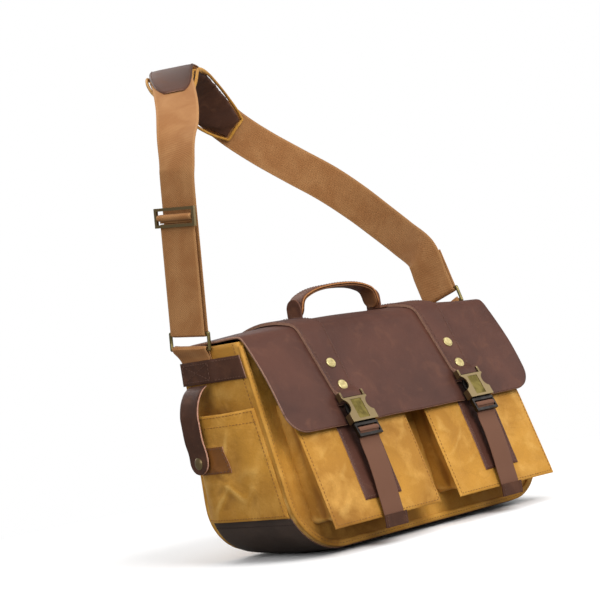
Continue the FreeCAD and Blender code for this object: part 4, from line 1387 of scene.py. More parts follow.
    def make_webbing(self) -> None:
        """Closure webbing: round the buckle's cross bar and down to the pocket's foot.

        It is cut just past the bar. The eye rides the buckle; the run stays on the bag.
        """
        along, out, radius = self.bar_along, self.bar_out, 2.75
        turn = np.radians(np.array((250, 200, 150, 100, 50, 0, -50, -85)))
        eye = [flap_place(along - radius * math.sin(a), out + radius * math.cos(a)) for a in turn]
        leave = flap_place(152.0, 3.6)
        foot_y = front_y(POCKET_LOW) - POCKET_DEEP - PANEL_THICK - 1.6
        run = [leave, (-101.2, 88.0), (-106.4, 66.0), (-110.0, 46.0), (foot_y + 0.3, 28.0),
               (foot_y - 0.2, 15.0)]
        line = np.array(eye + run)
        path = places(self.side.value * STRAP_X, line[:, 0], line[:, 1])
        way = unit(np.gradient(path, axis=0))
        look = np.cross(way, np.array((1.0, 0, 0)))
        path = curve_through(np.hstack([path, look]), 90)
        word = self.side.word
        up = np.array((0, math.sin(SLANT), math.cos(SLANT)))
        anchor = np.array((0, foot_y, 14.0))
        height = (path[:, :3] - anchor) @ up
        past_bar = np.array((0, *flap_place(along + 11.0, out)))
        cut = int(np.argmax(height < (past_bar - anchor) @ up))
        shape = sweep(Shape(), path[:cut + 1], CLOSURE_WIDE, WEB_THICK)
        settle(shape.build("closure_eye_" + word, (CLOSURE_WEB,)), "buckle_" + word)
        shape = sweep(Shape(), path[cut:], CLOSURE_WIDE, WEB_THICK)
        piece = shape.build("closure_strap_" + word, (CLOSURE_WEB,))
        settle(piece, "bag", ["closure_webbing_" + word])
        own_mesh(piece)

    def make(self) -> None:
        """Makes the pocket's pieces."""
        self.make_face()
        self.make_gusset()
        self.make_panel()
        self.make_webbing()


def make_closure_patches() -> None:
    """Leather ends of both closure webbings, sewn to the pockets' feet."""
    shape = Shape()
    for side in Side:
        y = front_y(POCKET_LOW) - POCKET_DEEP - PANEL_THICK - 3.1
        z = np.linspace(12.0, 26.0, 12)
        path = np.hstack([places(side.value * STRAP_X, y - 0.9, z), np.tile(FORWARD, (12, 1))])
        sweep(shape, path, 34.0, 2.2, 0, strip_section(12, 20, 0.6))
        for across in (-13.5, 13.5):
            stitches(shape, path[:, :3] + np.array((across, -1.2, 0)), FORWARD, 1)
    piece = shape.build("closure_ends", (BAND_HIDE, LEATHER_THREAD))
    settle(piece, "bag", ["closure_patches"])


# ---------------------------------------------------------------- flap


def flap_place(along: float, out: float) -> tuple[float, float]:
    """Y and Z of a place on the flap's front: down from its fold and out from its inside."""
    return (FOLD[0] - along * math.sin(SLANT) - out * math.cos(SLANT),
            FOLD[1] - along * math.cos(SLANT) + out * math.sin(SLANT))


@dataclass
class Flap:
    """Leather flap from the back panel over the top and down the front."""

    thick: float = 2.5
    strap_half: float = 20.0
    buckle_half: float = 15.0
    split: float = 62.0
    line: Array = field(default_factory=lambda: np.zeros((0, 2)))
    length: float = 0.0

    def __post_init__(self) -> None:
        """Works out the flap's side view: three runs whose corners a moving mean rounds."""
        rear, front = np.array((BACK, 236.3)), np.array(FOLD)
        crown = (rear + front) / 2 + np.array((0, 9.0))
        a, b = 2 * (crown - rear), 2 * (front - rear)
        known = np.array((crown @ crown - rear @ rear, front @ front - rear @ rear))
        centre = np.linalg.solve(np.stack([a, b]), known)
        radius = np.linalg.norm(rear - centre) + self.thick
        first, last = (math.atan2(*(p - centre)[::-1]) for p in (rear, front))
        angle = np.linspace(first + 0.02, last - 0.02, 60)
        arc = centre + radius * np.stack([np.cos(angle), np.sin(angle)], 1)
        root = np.stack([np.full(20, BACK + self.thick + 0.2), np.linspace(196, 232, 20)], 1)
        run = np.array([flap_place(along, self.thick) for along in np.linspace(3, FLAP_LONG, 60)])
        rough = np.vstack([root, arc, run])
        gone = travelled(rough, 0)
        even = np.arange(0, gone[-1], 1.0)
        line = np.stack([np.interp(even, gone, rough[:, k]) for k in range(2)], 1)
        wide = 13
        before = line[0] - (line[1] - line[0]) * np.arange(wide // 2, 0, -1)[:, None]
        after = line[-1] + (line[-1] - line[-2]) * np.arange(1, wide // 2 + 1)[:, None]
        padded = np.vstack([before, line, after])
        kernel = np.ones(wide) / wide
        self.line = np.stack([np.convolve(padded[:, k], kernel, "valid") for k in range(2)], 1)
        self.length = float(travelled(self.line, 0)[-1])

    @property
    def fold_at(self) -> float:
        """Length from the root to the front fold."""
        return self.length - FLAP_LONG

    def place(self, x: Array, gone: Array, out: float | Array = 0.0) -> Array:
        """Places on the flap's outer face.

        The side view is pushed out along its own normal: the top sags towards its ends,
        and the front swells between its straps and curls at its lower corners.

        Args:
            x: Across the bag.
            gone: Length from the root.
            out: How far above the leather.

        Returns:
            Places.
        """
        x, gone, out = np.broadcast_arrays(np.asarray(x, float), np.asarray(gone, float), out)
        at = travelled(self.line, 0)
        y, z = (np.interp(gone, at, self.line[:, k]) for k in range(2))
        way = unit(np.gradient(self.line, axis=0))
        out_y, out_z = np.interp(gone, at, way[:, 1]), np.interp(gone, at, -way[:, 0])
        top = np.clip((gone - 44) / (self.fold_at - 44), 0, 1)
        along = np.clip((gone - self.fold_at) / FLAP_LONG, 0, 1)
        end = np.clip(np.abs(x) / FLAP_HALF, 0, 1)
        free = 1 - np.exp(-((np.abs(x) - STRAP_X) / 27.0) ** 4)
        crown = np.sin(math.pi * top)
        sag = -8.0 * end ** 3 * crown + 0.5 * ripples(x, gone, 110.0, 41) * crown
        swell = free * (2.4 * np.sin(math.pi * along) + 1.6 * along ** 4)
        edge = np.clip((np.abs(x) - 140) / 56, 0, 1) ** 2
        swell = swell + edge * (3.0 * np.sin(math.pi * along) + 2.0 * along ** 3)
        swell = swell + free * 0.7 * along * ripples(x, gone, 95.0, 43)
        shift = sag + swell + out
        return np.stack([x, y + out_y * shift, z + out_z * shift], -1)

    def low_edge(self, x: Array) -> Array:
        """Length of the front at a place across: its lower corners are round."""
        inside = np.maximum(np.abs(x) - (FLAP_HALF - 25.0), 0)
        return FLAP_LONG - 25.0 + np.sqrt(np.maximum(625.0 - inside ** 2, 0))

    def make_skin(self) -> None:
        """The leather, split along the top where both halves move together.

        The front is laid out in five spans, because its lower edge has a notch behind each
        buckle; the outer two crowd at the rounded corners.
        """
        look = np.array((0, -0.4, 1.0))
        split = self.split + 40
        x = np.linspace(-FLAP_HALF, FLAP_HALF, 121)
        gone = np.linspace(0, split, 46)[:, None]
        narrow = 0.96 + 0.04 * np.clip(gone / 70, 0, 1)
        rear = surface(Shape(), self.place(x * narrow, gone), np.array((0, 1, 0.6)))
        skin = rear.build("flap_rear", (FLAP_HIDE, RAW_EDGE), smooth_deg=60)
        thicken(skin, self.thick, rim=1)
        bend(skin, ("bag", "flap_top"), ["flap_root", "flap_top"])
        notch, start = 17.2, 102.6
        front = Shape()
        outer = -FLAP_HALF + 82.8 * (np.linspace(0, 1, 26) ** 1.5)
        spans = [outer, np.linspace(-STRAP_X - notch, -STRAP_X + notch, 11),
                 np.linspace(-STRAP_X + notch, STRAP_X - notch, 44),
                 np.linspace(STRAP_X - notch, STRAP_X + notch, 11), -outer[::-1]]
        upper = np.concatenate([np.linspace(split, self.fold_at, 26)[:-1],
                                self.fold_at + np.linspace(0, start, 36)])
        for number, span in enumerate(spans):
            surface(front, self.place(span, upper[:, None]), look)
            if number % 2 == 0:
                lower = start + np.linspace(0, 1, 14)[:, None] * (self.low_edge(span) - start)
                surface(front, self.place(span, self.fold_at + lower), look)
        skin = front.build("flap_front_skin", (FLAP_HIDE, RAW_EDGE), weld=True, smooth_deg=60)
        thicken(skin, self.thick, rim=1)
        bend(skin, ("flap_top", "flap_front"), ["flap_front"])

    def make_straps(self) -> None:
        """Doubled leather straps with stitched edges, folded round the buckles' bars."""
        start = 54.0
        gone = np.linspace(start, self.fold_at + 99.0, 130)
        along = gone - self.fold_at
        rise = np.clip((along - 84) / 10, 0, 1)
        rise = rise * rise * (3 - 2 * rise)
        thick = 4.4 + 4.2 * rise
        out = 2.2 + 3.0 * rise
        full, less = 2 * self.strap_half, 2 * (self.strap_half - self.buckle_half)
        wide = full - less * np.clip(along / 88, 0, 1)
        section = strip_section(14, 26, 0.72)
        for side in Side:
            x = side.value * STRAP_X
            line = self.place(x, gone, out)
            above = self.place(x, gone, out + 1)
            path = np.hstack([line, above - line])
            shape = sweep(Shape(), path, wide, thick, 0, section, 2)
            flat = along < 85
            for sign in (-1, 1):
                edge = self.place(x + sign * (wide / 2 - 2.8), gone, 4.4)[flat]
                stitches(shape, edge[3:], (above - line)[flat][3:], 1)
            across = np.linspace(-16, 16, 20)
            rear = self.place(x + across, start + 3.0, 4.4)
            stitches(shape, rear, np.array((0, 0.3, 1.0)), 1)
            word = side.word
            piece = shape.build("flap_strap_" + word, (FLAP_HIDE, LEATHER_THREAD, RAW_EDGE))
            bend(piece, ("flap_top", "flap_front"),
                 ["top_strap_" + word, "front_strap_" + word])

    def make(self) -> None:
        """Makes the flap's pieces."""
        self.make_skin()
        self.make_straps()


@dataclass
class Handle:
    """Arched handle on the flap: leather outside, lining inside."""

    y: float = 28.0
    foot: float = 262.4
    half: float = 61.0
    rise: float = 22.0
    width: float = 24.0

    def make(self) -> None:
        """Makes the grip as two layers carried along the same arch."""
        angle = np.linspace(math.pi, 0, 9)
        arch = np.stack([self.half * np.sign(np.cos(angle)) * np.abs(np.cos(angle)) ** 0.85,
                         self.foot + self.rise * np.sin(angle) ** 0.9], 1)
        ends = np.array(((-61.6, self.foot - 10.5), (-61.6, self.foot - 5)))
        line = np.vstack([ends, arch[1:-1], ends[::-1] * np.array((-1, 1))])
        path = places(line[:, 0], self.y, line[:, 1])
        look = np.cross(np.array((0, 1.0, 0)), unit(np.gradient(path, axis=0)))
        look = look * np.sign(look[len(look) // 2, 2])
        path = curve_through(np.hstack([path, look]), 90)
        out = unit(path[:, 3:6])
        gone = travelled(path[:, :3], 0)
        near = np.minimum(gone, gone[-1] - gone)
        half = self.width / 2
        wide = 2 * np.sqrt(np.maximum(half ** 2 - np.maximum(half - near - 1.0, 0) ** 2, 1.0))
        shape = Shape()
        outer, inner = path.copy(), path.copy()
        outer[:, :3] += out * 1.2
        inner[:, :3] -= out * 1.5
        sweep(shape, outer, wide, 2.8, 0, strip_section(12, 10, 0.6), 3)
        sweep(shape, inner, np.maximum(wide - 1.2, 1.0), 2.4, 1, strip_section(12, 8, 0.5))
        keep = near > 6
        for sign in (-1, 1):
            line = outer[keep, :3] + np.array((0, sign * (half - 2.6), 0)) + out[keep] * 1.35
            stitches(shape, line, out[keep], 2)
        piece = shape.build("carry_handle",
                            (HANDLE_HIDE, HANDLE_LINING, LEATHER_THREAD, EDGE_PAINT))
        settle(piece, "handle", ["handle_grip", "handle_core"])
        dressed("handle_feet", HANDLE_HIDE, 0.8)


# ---------------------------------------------------------------- sides


@dataclass
class SideGear:
    """What is on one side: pocket, tab, snap, leather band and ring loop."""

    side: Side
    low: float = 41.0
    top: float = 163.0
    tab_y: float = 47.0
    snap_z: float = 110.0

    def slope(self, z: Array) -> Array:
        """How far the pocket stands off the side at its fullest, by height."""
        return 8.0 + 16.0 * (z - self.low) / (self.top - self.low)

    def pocket_place(self, share: Array, z: Array, out: float = 0.0) -> Array:
        """Places on the side pocket: a bellows fullest at the top and towards the rear.

        Args:
            share: From its front edge, 0, to its rear edge, 1.
            z: Height.
            out: How far outside.

        Returns:
            Places.
        """
        front = front_y(z) + 4.5
        rear = BACK - 3.5
        knots = np.array((0.0, 0.22, 0.5, 0.78, 0.87, 0.93, 1.0))
        swells = np.array((0.0, 0.42, 0.74, 1.0, 0.93, 0.5, 0.0))
        swell = np.zeros(np.broadcast(share, z).shape)
        for slide in (-0.04, -0.02, 0.0, 0.02, 0.04):
            swell = swell + np.interp(np.clip(share + slide, 0, 1), knots, swells) / 5
        swell = swell * (1 - np.clip((share - 0.97) / 0.03, 0, 1)) * np.clip(share / 0.03, 0, 1)
        y = front + (rear - front) * share
        calm = np.sin(math.pi * np.clip(share, 0, 1)) * np.clip((z - self.low) / 20, 0, 1)
        flat = 1 - np.exp(-(((y - self.tab_y) / 19) ** 2 + ((z - self.snap_z) / 20) ** 2) ** 2)
        low = np.clip((self.snap_z + 45 - z) / 45, 0.2, 1) * flat
        bulge = self.slope(z) * swell
        x = HALF + 1.2 + bulge + out
        crumple = np.minimum(0.4 * bulge, 4.0) * folds(y + 0.5 * z, z - 0.3 * y, 50.0, 53)
        x = x + calm * low * (ripples(y, z, 48.0, 51 + self.side.value) + crumple)
        sag = -2.0 * calm * np.clip((z - 140) / 23, 0, 1)
        return places(self.side.value * x, y, z + sag)

    def make_pocket(self) -> None:
        """Canvas pocket with a stitched hem."""
        share = np.concatenate([[0, 0.012], np.linspace(0.03, 0.97, 52), [0.988, 1]])
        z = np.concatenate([[self.low, self.low + 1.2], np.linspace(self.low, self.top, 40)[1:-1],
                            [self.top - 1.2, self.top]])
        look = np.array((self.side.value, 0, 0))
        shape = slab(Shape(), self.pocket_place(share, z[:, None]), look, 2.4)
        along = np.linspace(0.02, 0.98, 140)
        for height in (self.top - 3.0, self.top - 15.0):
            stitches(shape, self.pocket_place(along, height, 0.05), look, 1)
        up = np.linspace(self.low + 2, self.top - 2, 110)
        stitches(shape, self.pocket_place(0.035, up, 0.2), look, 1)
        stitches(shape, self.pocket_place(along, self.low + 3.0, 0.1), look, 1)
        word = self.side.word
        piece = shape.build("side_pouch_" + word, (CANVAS, CANVAS_THREAD))
        settle(piece, "bag", ["side_pocket_" + word])

    def make_tab(self) -> None:
        """Leather tab that bows out from its band and down to its snap."""
        x, z = 207.5, 194.1
        flat = HALF + self.slope(self.snap_z) + 6.0
        route = [(x, z), (x + 8, z - 5), (x + 15.5, z - 16), (x + 19.5, z - 30),
                 (x + 19.5, z - 42), (flat + 3, self.snap_z + 25), (flat, self.snap_z + 9),
                 (flat, self.snap_z - 12.6)]
        line = np.array([(self.side.value * a, self.tab_y, b) for a, b in route])
        way = unit(np.gradient(line, axis=0))
        look = np.cross(way, np.array((0, 1.0, 0)))
        look = look * np.sign(look[:, :1] * self.side.value)
        path = curve_through(np.hstack([line, look]), 70)
        gone = travelled(path[:, :3], 0)
        left = gone[-1] - gone
        wide = 2 * np.sqrt(np.maximum(225.0 - np.maximum(15.0 - left, 0) ** 2, 2.0))
        thick = 1.3 + 1.7 * np.clip(gone / 12, 0, 1)
        shape = sweep(Shape(), path, wide, thick, 0, strip_section(12, 26, 0.7))
        sweep(shape, path, np.maximum(wide + 0.5, 1), thick - 0.9, 1, strip_section(6, 26, 0.8))
        word = self.side.word
        piece = shape.build("snap_tab_" + word, (BAND_HIDE, PALE_EDGE))
        settle(piece, "tab_" + word, ["side_tab_" + word])
        dressed("snap_cap_" + word, BRASS, 0.2)

    def make_band(self) -> None:
        """Leather band over the top of the side, raised over the webbing's tail.

        Its distance out follows knots from front to rear, softened, and its two long edges
        have close lines.
        """
        knots = np.array((-34.0, 4.0, 13.0, 22.0, 40.0, 58.0, 74.6))
        outs = np.array((202.9, 202.9, 203.8, 206.6, 206.9, 206.9, 206.9))
        z = np.concatenate([[196.0, 197.0], np.linspace(199, 219, 9), [221.0, 222.0]])[:, None]
        share = np.linspace(0, 1, 60)[None, :]
        y = (front_y(z) + 0.6) * (1 - share) + 74.6 * share
        x = sum(np.interp(y + shift, knots, outs) for shift in (-3, 0, 3)) / 3
        look = np.array((self.side.value, 0, 0))
        shape = slab(Shape(), places(self.side.value * x, y, z), look, 2.4, 0, 1)
        for flat in crossed_box((26.0, 199.5), (70.0, 218.5)):
            line = places(self.side.value * 207.0, flat[:, 0], flat[:, 1])
            stitches(shape, line, look, 2)
        for height in (198.6, 219.4):
            y = np.linspace(front_y(height) + 3, 20, 30)
            x = np.interp(y, knots, outs) + 0.05
            stitches(shape, places(self.side.value * x, y, height), look, 2)
        word = self.side.word
        piece = shape.build("leather_band_" + word, (BAND_HIDE, RAW_EDGE, LEATHER_THREAD))
        settle(piece, "bag", ["side_band_" + word])

    def make_patch(self) -> None:
        """Leather patch under the tab's snap, shared by one node for both sides."""
        z = np.linspace(self.snap_z - 14, self.snap_z + 16, 14)[:, None]
        share = np.linspace(0.47, 0.875, 24)[None, :]
        look = np.array((self.side.value, 0, 0))
        shape = slab(Shape(), self.pocket_place(share, z, 1.7), look, 1.6, 0, 1)
        low, high, front, rear = self.snap_z - 12, self.snap_z + 14, 0.485, 0.86
        for share in (front, rear):
            line = self.pocket_place(share, np.linspace(low, high, 30), 1.75)
            stitches(shape, line, look, 2)
        for height in (low, high):
            line = self.pocket_place(np.linspace(front, rear, 40), height, 1.75)
            stitches(shape, line, look, 2)
        word = self.side.word
        piece = shape.build("snap_patch_" + word, (PATCH_HIDE, PALE_EDGE, LEATHER_THREAD))
        settle(piece, "bag", ["snap_patches"])

    def make_loop(self) -> None:
        """Webbing loop from under the band, round the ring's lower bar and back."""
        run = StrapEnd(self.side)
        s = self.side.value
        outside = [(s * 203.2, 48, 199), (s * 203.2, 48, 216), (s * 205.2, 48, 226)]
        inside = [(s * 201.3, 48, 222), (s * 201.2, 48, 212), (s * 201.2, 48, 199)]
        turn = np.radians(np.array((-10, 30, 60, 90, 120, 150, 190)))
        round_bar = [run.place(EYE * math.cos(a), 0, EYE * math.sin(a)) for a in turn]
        line = np.vstack([outside, round_bar, inside])
        share = np.clip((line[:, 2:3] - 222) / 12, 0, 1)
        bar = np.array((0, -1.0, 0)) * (1 - share) + run.bar * share
        way = unit(np.gradient(line, axis=0))
        look = np.cross(bar, way)
        look = look * np.sign(np.sum(look[0] * np.array((s, 0, 0))))
        path = curve_through(np.hstack([line, look]), 80)
        word = self.side.word
        shape = sweep(Shape(), path, LOOP_WIDE, WEB_THICK)
        piece = shape.build("ring_loop_" + word, (SHOULDER_WEB,))
        bend(piece, ("bag", "strap"),
             ["side_loop_" + word])

    def make(self) -> None:
        """Makes this side's pieces."""
        self.make_pocket()
        self.make_tab()
        self.make_band()
        self.make_patch()
        self.make_loop()
        dressed("strap_ring_" + self.side.word, WIRE_BRASS, 0.0, 50.0)


# ---------------------------------------------------------------- shoulder strap


@dataclass
class StrapEnd:
    """Frame of one end of the shoulder strap, from its ring's lower bar."""

    side: Side
    twist_deg: float = 10.0

    def __post_init__(self) -> None:
        """Works out the upward, bar and outward ways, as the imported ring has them."""
        lean = math.radians(-6.2 if self.side is Side.LEFT else 18.0)
        twist = math.radians(self.twist_deg)
        self.up = np.array((0, math.sin(lean), math.cos(lean)))
        bar = np.array((math.sin(twist), -math.cos(twist), 0))
        self.bar = unit(bar - self.up * (bar @ self.up))
        self.out = np.cross(self.bar, self.up) * (1 if self.side is Side.LEFT else -1)
        self.origin = np.array((self.side.value * 208.8, 48.0, HEIGHT))

    def place(self, out: float, bar: float, up: float) -> Array:
        """A place, from its distances along the three ways."""
        return self.origin + self.out * out + self.bar * bar + self.up * up

    def turn(self, degrees: Sequence[float]) -> list[Array]:
        """Goes round the ring's upper bar.

        Args:
            degrees: Angles, where 0 is outwards and 90 up.

        Returns:
            Place and look at each angle.
        """
        rows = []
        for a in np.radians(np.array(degrees, float)):
            way = self.out * math.cos(a) + self.up * math.sin(a)
            rows.append(np.concatenate([self.origin + self.up * RING_BAR + way * EYE, way]))
        return rows


@dataclass
class ShoulderStrap:
    """Long webbing, its doubled end with the slider, and the padded shoulder piece."""

    width: float = 49.6
    slider_up: float = 130.0

    def centre_line(self) -> Array:
        """Joins the route's parts, from the left ring to the right.

        Returns:
            Place and look of the main layer.
        """
        left, right = StrapEnd(Side.LEFT), StrapEnd(Side.RIGHT)
        rows = [row * FLIP_LOOK for row in left.turn((270, 225, 185))]
        for d in (20.0, 82.0, 165.0):
            rows.append(np.concatenate([left.place(-EYE, 0, RING_BAR + d), left.out]))
        rows += list(SHOULDER_ROUTE)
        for d in (60.0, 30.0, 8.0):
            rows.append(np.concatenate([right.place(-EYE, 0, RING_BAR + d), right.out]))
        rows += [row * FLIP_LOOK for row in right.turn((185, 225, 270, 315, 355))]
        for d in (14.0, 34.0, 54.0):
            rows.append(np.concatenate([right.place(EYE, 0, RING_BAR + d), -right.out]))
        return np.array(rows)

    def make_webbing(self) -> None:
        """The long layer, with the sewn tail at its right end."""
        right = StrapEnd(Side.RIGHT)
        path = curve_through(self.centre_line(), 620)
        shape = sweep(Shape(), path, self.width, WEB_THICK)
        half = self.width / 2 - 4
        for flat in crossed_box((-half, 18.0), (half, 50.0)):
            line = (right.origin + right.out * (EYE + 1.0) + right.bar * flat[:, :1]
                    + right.up * (RING_BAR + flat[:, 1:]))
            stitches(shape, line, right.out, 1)
        foot = np.concatenate([right.place(0, 0, RING_BAR + 44), right.out])
        rise = np.concatenate([right.up, np.zeros(3)])
        sewn = foot + rise * np.linspace(0, 9, 8)[:, None]
        sweep(shape, sewn, self.width - 3, 2 * EYE - 2.0)
        piece = shape.build("shoulder_webbing_long", (SHOULDER_WEB, DARK_THREAD))
        settle(piece, "strap", ["strap_webbing"])

    def make_return(self) -> None:
        """Layer that comes back up from the left ring and is sewn round the slider's bar.

        It is cut above the ring and below the slider: the part above the upper cut rides the
        slider, and the rest stays on the strap.
        """
        left = StrapEnd(Side.LEFT)
        rows = left.turn((262, 300, 340, 358))
        for d in (16.0, 50.0, 90.0, self.slider_up - 15):
            rows.append(np.concatenate([left.place(EYE, 0, RING_BAR + d), left.out]))
        bar_out, bar_up = 6.3, RING_BAR + self.slider_up
        for a in np.radians(np.array((200, 150, 100, 50, 0, -50, -80), float)):
            way = left.out * math.cos(a) + left.up * math.sin(a)
            rows.append(np.concatenate([left.place(bar_out, 0, bar_up) + way * 2.9, way]))
        path = curve_through(np.array(rows), 150)
        height = (path[:, :3] - left.origin) @ left.up - RING_BAR
        low = int(np.argmax(height > 8.0))
        high = int(np.argmax(height > self.slider_up - 8.0))
        parts = (("doubled_webbing_foot", path[:low + 1], "strap", ()),
                 ("doubled_webbing", path[low:high + 1], "strap", ("strap_return",)),
                 ("doubled_webbing_eye", path[high:], "slider", ()))
        for name, part, body, nodes in parts:
            shape = sweep(Shape(), part, self.width - 0.4, WEB_THICK)
            piece = shape.build(name, (SHOULDER_WEB,))
            settle(piece, body, nodes)
            if nodes:
                anchor = left.place(0, 0, RING_BAR + float(height[low]))
                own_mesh(piece)
        dressed("strap_slider", BRASS, 0.5)

    def make_pad(self) -> None:
        """Padded piece under the webbing, blown up as cloth, canvas above and leather below."""
        pad = merged_copy("shoulder_pad", "shoulder_padding")
        puff(pad, 4.0, 1.6, 2.6)
        route = curve_through(SHOULDER_ROUTE[PAD_FIRST:PAD_LAST + 1], 60)
        count = len(pad.data.polygons)
        centre, normal = np.zeros(3 * count, np.float32), np.zeros(3 * count, np.float32)
        pad.data.polygons.foreach_get("center", centre)
        pad.data.polygons.foreach_get("normal", normal)
        apart = np.linalg.norm(centre.reshape(-1, 1, 3) / MM - route[None, :, :3], axis=-1)
        upper = np.sum(normal.reshape(-1, 3) * unit(route[np.argmin(apart, 1), 3:6]), 1)
        pad.data.materials.clear()
        pad.data.materials.append(CANVAS_PLAIN.material())
        pad.data.materials.append(BAND_HIDE.material())
        pad.data.polygons.foreach_set("material_index", (upper < 0.15).astype(np.int32))
        pad.data.shade_smooth()
        pad.modifiers.new("finer", "SUBSURF").levels = 1
        pad.modifiers["finer"].render_levels = 1
        settle(pad, "strap", ["shoulder_pad"])

    def make_binding(self) -> None:
        """Canvas welt sewn round the pad's edge, between its canvas and its leather."""
        path = curve_through(SHOULDER_ROUTE[PAD_FIRST:PAD_LAST + 1], 90)
        way, across, out = ways_of(path)
        half = 31.4 * np.sqrt(1 - 0.75 * np.abs(np.linspace(-1, 1, 90)) ** 4)
        middle = path[:, :3] - out * 5.2
        near, far = middle + across * half[:, None], middle - across * half[:, None]
        ends = [middle[k] + way[k] * reach for k, reach in ((-1, -0.4), (0, 0.4))]
        place = np.vstack([near, ends[0], far[::-1], ends[1], near[:1]])
        look = np.vstack([out, out[-1], out[::-1], out[0], out[:1]])
        welt = curve_through(np.hstack([place, look]), 420)
        shape = sweep(Shape(), welt, 3.6, 5.2, 0, strip_section(8, 3, 0.3))
        settle(shape.build("pad_binding", (CANVAS_PLAIN,)), "strap")

    def make_cap(self) -> None:
        """Leather cap over the webbing on the shoulder, with round ends and stitches."""
        path = curve_through(SHOULDER_ROUTE[PAD_FIRST:PAD_LAST + 1], 90)
        _, across, out = ways_of(path)
        half = 27.0 * np.sqrt(1 - 0.8 * np.abs(np.linspace(-1, 1, 90)) ** 5)
        u = np.sin(np.linspace(-1, 1, 22) * math.pi / 2)
        lift = 4.0 - 1.4 * np.abs(u) ** 6
        grid = (path[:, None, :3] + across[:, None] * (half[:, None] * u)[..., None]
                + out[:, None] * lift[None, :, None])
        shape = slab(Shape(), grid, out[:, None], 2.1, 0, 1)
        for sign in (-1, 1):
            line = path[:, :3] + across * (half * sign * 0.9)[:, None] + out * 3.45
            stitches(shape, line[2:-2], out[2:-2], 2)
        piece = shape.build("shoulder_cap", (BAND_HIDE, RAW_EDGE, LEATHER_THREAD))
        settle(piece, "strap", ["pad_cap"])

    def make(self) -> None:
        """Makes the strap's pieces."""
        self.make_webbing()
        self.make_return()
        self.make_pad()
        self.make_binding()
        self.make_cap()


# ---------------------------------------------------------------- insert and hardware


def make_insert() -> None:
    """Padded tray and its two dividers, each blown up as cloth over foam."""
    sizes = {"insert_tray": ("padded_tray", 4.0, 0.8, 1.2),
             "divider_left": ("padded_divider_left", 3.5, 1.3, 1.6),
             "divider_right": ("padded_divider_right", 3.5, 1.3, 1.6)}
    for node, (name, *puffing) in sizes.items():
        piece = merged_copy(node, name)
        puff(piece, *puffing)
        piece.data.materials.clear()
        piece.data.materials.append(INSERT_CLOTH.material())
        piece.data.shade_smooth()
        settle(piece, body_of(node), [node])


def make_rivets(flap: Flap) -> None:
    """Turns a profile of radius and height round the flap's normal, for its four rivets.

    Args:
        flap: The flap that they sit on.
    """
    radius = np.array((6.3, 6.3, 6.1, 5.6, 5.0, 4.6, 4.2, 2.2, 0.02))
    height = np.array((-0.6, 0.7, 1.15, 1.45, 1.5, 1.3, 1.25, 1.4, 1.45))
    turn = np.linspace(0, 2 * math.pi, 36, endpoint=False)
    shape = Shape()
    for side in Side:
        for along in (52.0, 81.0):
            at = (side.value * STRAP_X, flap.fold_at + along)
            foot = flap.place(*at, 4.35)
            normal = unit(flap.place(*at, 6.0) - foot)
            across = np.array((1.0, 0, 0))
            down = np.cross(normal, across)
            points = (foot + normal * height[:, None, None]
                      + across * (radius[:, None] * np.cos(turn))[..., None]
                      + down * (radius[:, None] * np.sin(turn))[..., None])
            shape.add(points, grid_faces(len(radius), 36, closed=True))
    piece = shape.build("flat_rivets", (PALE_BRASS,), smooth_deg=55)
    settle(piece, "flap_front", ["flap_rivets"])


def make_recess_plate(side: Side) -> None:
    """Makes the dull floor of the shallow panel in a buckle's cover.

    Args:
        side: The buckle's side.
    """
    half, start, end, out = RECESS
    x = np.linspace(-half, half, 5) + side.value * STRAP_X
    y, z = flap_place(np.linspace(start, end, 5)[:, None], out)
    shape = slab(Shape(), places(x, y, z), np.array((0, -1, 0.5)), 0.3, soft=0.1)
    settle(shape.build("cover_recess_" + side.word, (RECESS_BRASS,)), "flap_front")


def make_hardware() -> None:
    """Buckles and studs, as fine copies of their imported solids."""
    for side in Side:
        dressed("buckle_cover_" + side.word, BRASS, 0.45)
        make_recess_plate(side)
        for part, edge in (("buckle_frame_", 0.5), ("prong_inner_", 0.3), ("prong_outer_", 0.3)):
            dressed(part + side.word, GUNMETAL, edge)
    dressed("snap_studs", BRASS, 0.2)


# ---------------------------------------------------------------- studio


@dataclass(frozen=True)
class PaperFloor(Finish):
    """Matt white paper that keeps the shadow near the bag and turns to plain white further out."""

    near_m: float = 0.42
    far_m: float = 0.95

    def material(self) -> bpy.types.Material:
        """Makes the paper's node material.

        Returns:
            The material.
        """
        made = bpy.data.materials.new(self.name)
        tree = empty_tree(made)
        place = add_node(tree, "ShaderNodeTexCoord").outputs["Object"]
        away = add_node(tree, "ShaderNodeVectorMath", {0: place}, operation="LENGTH")
        away = away.outputs["Value"]
        seen = add_node(tree, "ShaderNodeLightPath").outputs["Is Camera Ray"]
        share = maths(tree, "MULTIPLY", ranged(tree, away, self.near_m, self.far_m), seen)
        tone = mixed(tree, seen, linear("#8c8c8a"), linear("#ffffff"))
        paper = add_node(tree, "ShaderNodeBsdfDiffuse", {"Color": tone})
        plain = add_node(tree, "ShaderNodeEmission", {"Color": linear("#ffffff"), "Strength": 1.0})
        mix = add_node(tree, "ShaderNodeMixShader",
                       {0: share, 1: paper.outputs[0], 2: plain.outputs[0]})
        add_node(tree, "ShaderNodeOutputMaterial", {"Surface": mix.outputs[0]})
        return made


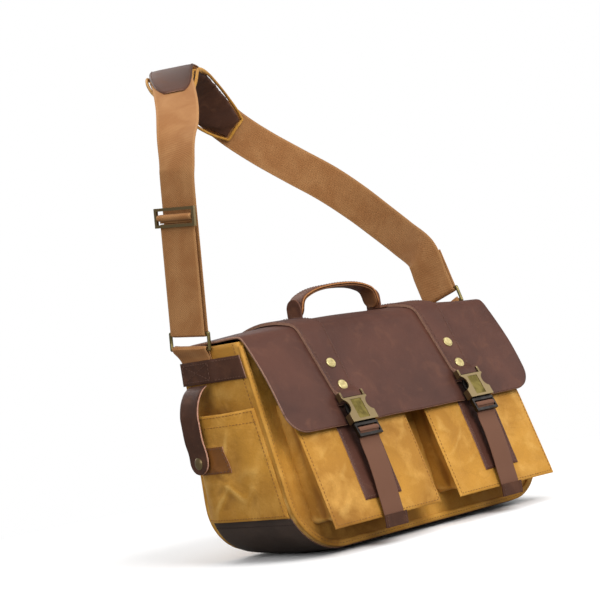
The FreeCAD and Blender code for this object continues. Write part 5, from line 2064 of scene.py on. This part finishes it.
@dataclass
class Studio:
    """Pale floor, soft lamps and the camera."""

    lens_mm: float = 110.5
    camera_at: tuple[float, float, float] = (-1494.9, -1548.3, 229.3)
    ahead: tuple[float, float, float] = (0.6749, 0.7377, 0.0204)
    upward: tuple[float, float, float] = (0.1049, -0.1233, 0.9868)

    def make_camera(self) -> None:
        """Camera at the viewing angle, slightly rolled."""
        data = bpy.data.cameras.new("camera")
        data.lens = self.lens_mm
        data.sensor_width = 36.0
        data.clip_end = 50.0
        camera = placed("camera", data)
        back = -Vector(self.ahead).normalized()
        right = Vector(self.upward).cross(back).normalized()
        up = back.cross(right)
        turn = Matrix((right, up, back)).transposed().to_4x4()
        camera.matrix_world = Matrix.Translation(Vector(self.camera_at) * MM) @ turn
        bpy.context.scene.camera = camera

    def make_floor(self) -> None:
        """Wide pale floor just under the sagging base."""
        steps = np.linspace(-9000.0, 9000.0, 3)
        shape = surface(Shape(), places(steps, steps[:, None], -7.0), np.array((0, 0, 1)))
        shape.build("floor", (FLOOR,))

    def make_lamps(self) -> None:
        """Large soft lamps from the front left, right, behind and above."""
        lamps = (("key", (-300, -1900, 1500), 1300, 46.0),
                 ("fill", (-1900, -500, 1000), 1500, 15.0),
                 ("right", (1700, -1200, 900), 1500, 12.0),
                 ("rear", (300, 1900, 1300), 1600, 20.0),
                 ("over", (0, -200, 2300), 1500, 15.0))
        for name, place, size, power in lamps:
            data = bpy.data.lights.new(name, "AREA")
            data.size = size * MM
            data.energy = power
            lamp = placed(name, data)
            lamp.location = Vector(place) * MM
            aim = Vector((0, 40, 250)) * MM - lamp.location
            lamp.rotation_euler = aim.to_track_quat("-Z", "Y").to_euler()

    def make_world(self) -> None:
        """Pale light all round, seen as plain white by the camera and through clear things."""
        world = bpy.data.worlds.new("studio")
        tree = empty_tree(world)
        ray = add_node(tree, "ShaderNodeLightPath").outputs
        shown = maths(tree, "MAXIMUM", ray["Is Camera Ray"], ray["Is Transmission Ray"])
        soft, white = (add_node(tree, "ShaderNodeBackground", {
            "Color": linear("#ffffff"), "Strength": power}).outputs[0] for power in (0.36, 1.0))
        mix = add_node(tree, "ShaderNodeMixShader", {0: shown, 1: soft, 2: white})
        add_node(tree, "ShaderNodeOutputWorld", {0: mix.outputs[0]})
        bpy.context.scene.world = world

    def make(self) -> None:
        """Makes the studio."""
        bpy.context.scene.view_settings.view_transform = "Standard"
        self.make_camera()
        self.make_floor()
        self.make_lamps()
        self.make_world()


FLOOR = PaperFloor("matt_paper", roughness=0.95)


def main() -> None:
    """Builds the bag's sub-assemblies in order."""
    logging.basicConfig(level=logging.INFO, format="%(message)s")
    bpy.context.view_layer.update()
    Studio().make()
    BagBody().make()
    for side in Side:
        FrontPocket(side).make()
    make_closure_patches()
    flap = Flap()
    flap.make()
    make_rivets(flap)
    Handle().make()
    for side in Side:
        SideGear(side).make()
    ShoulderStrap().make()
    make_insert()
    make_hardware()


if __name__ == "__main__":
    main()
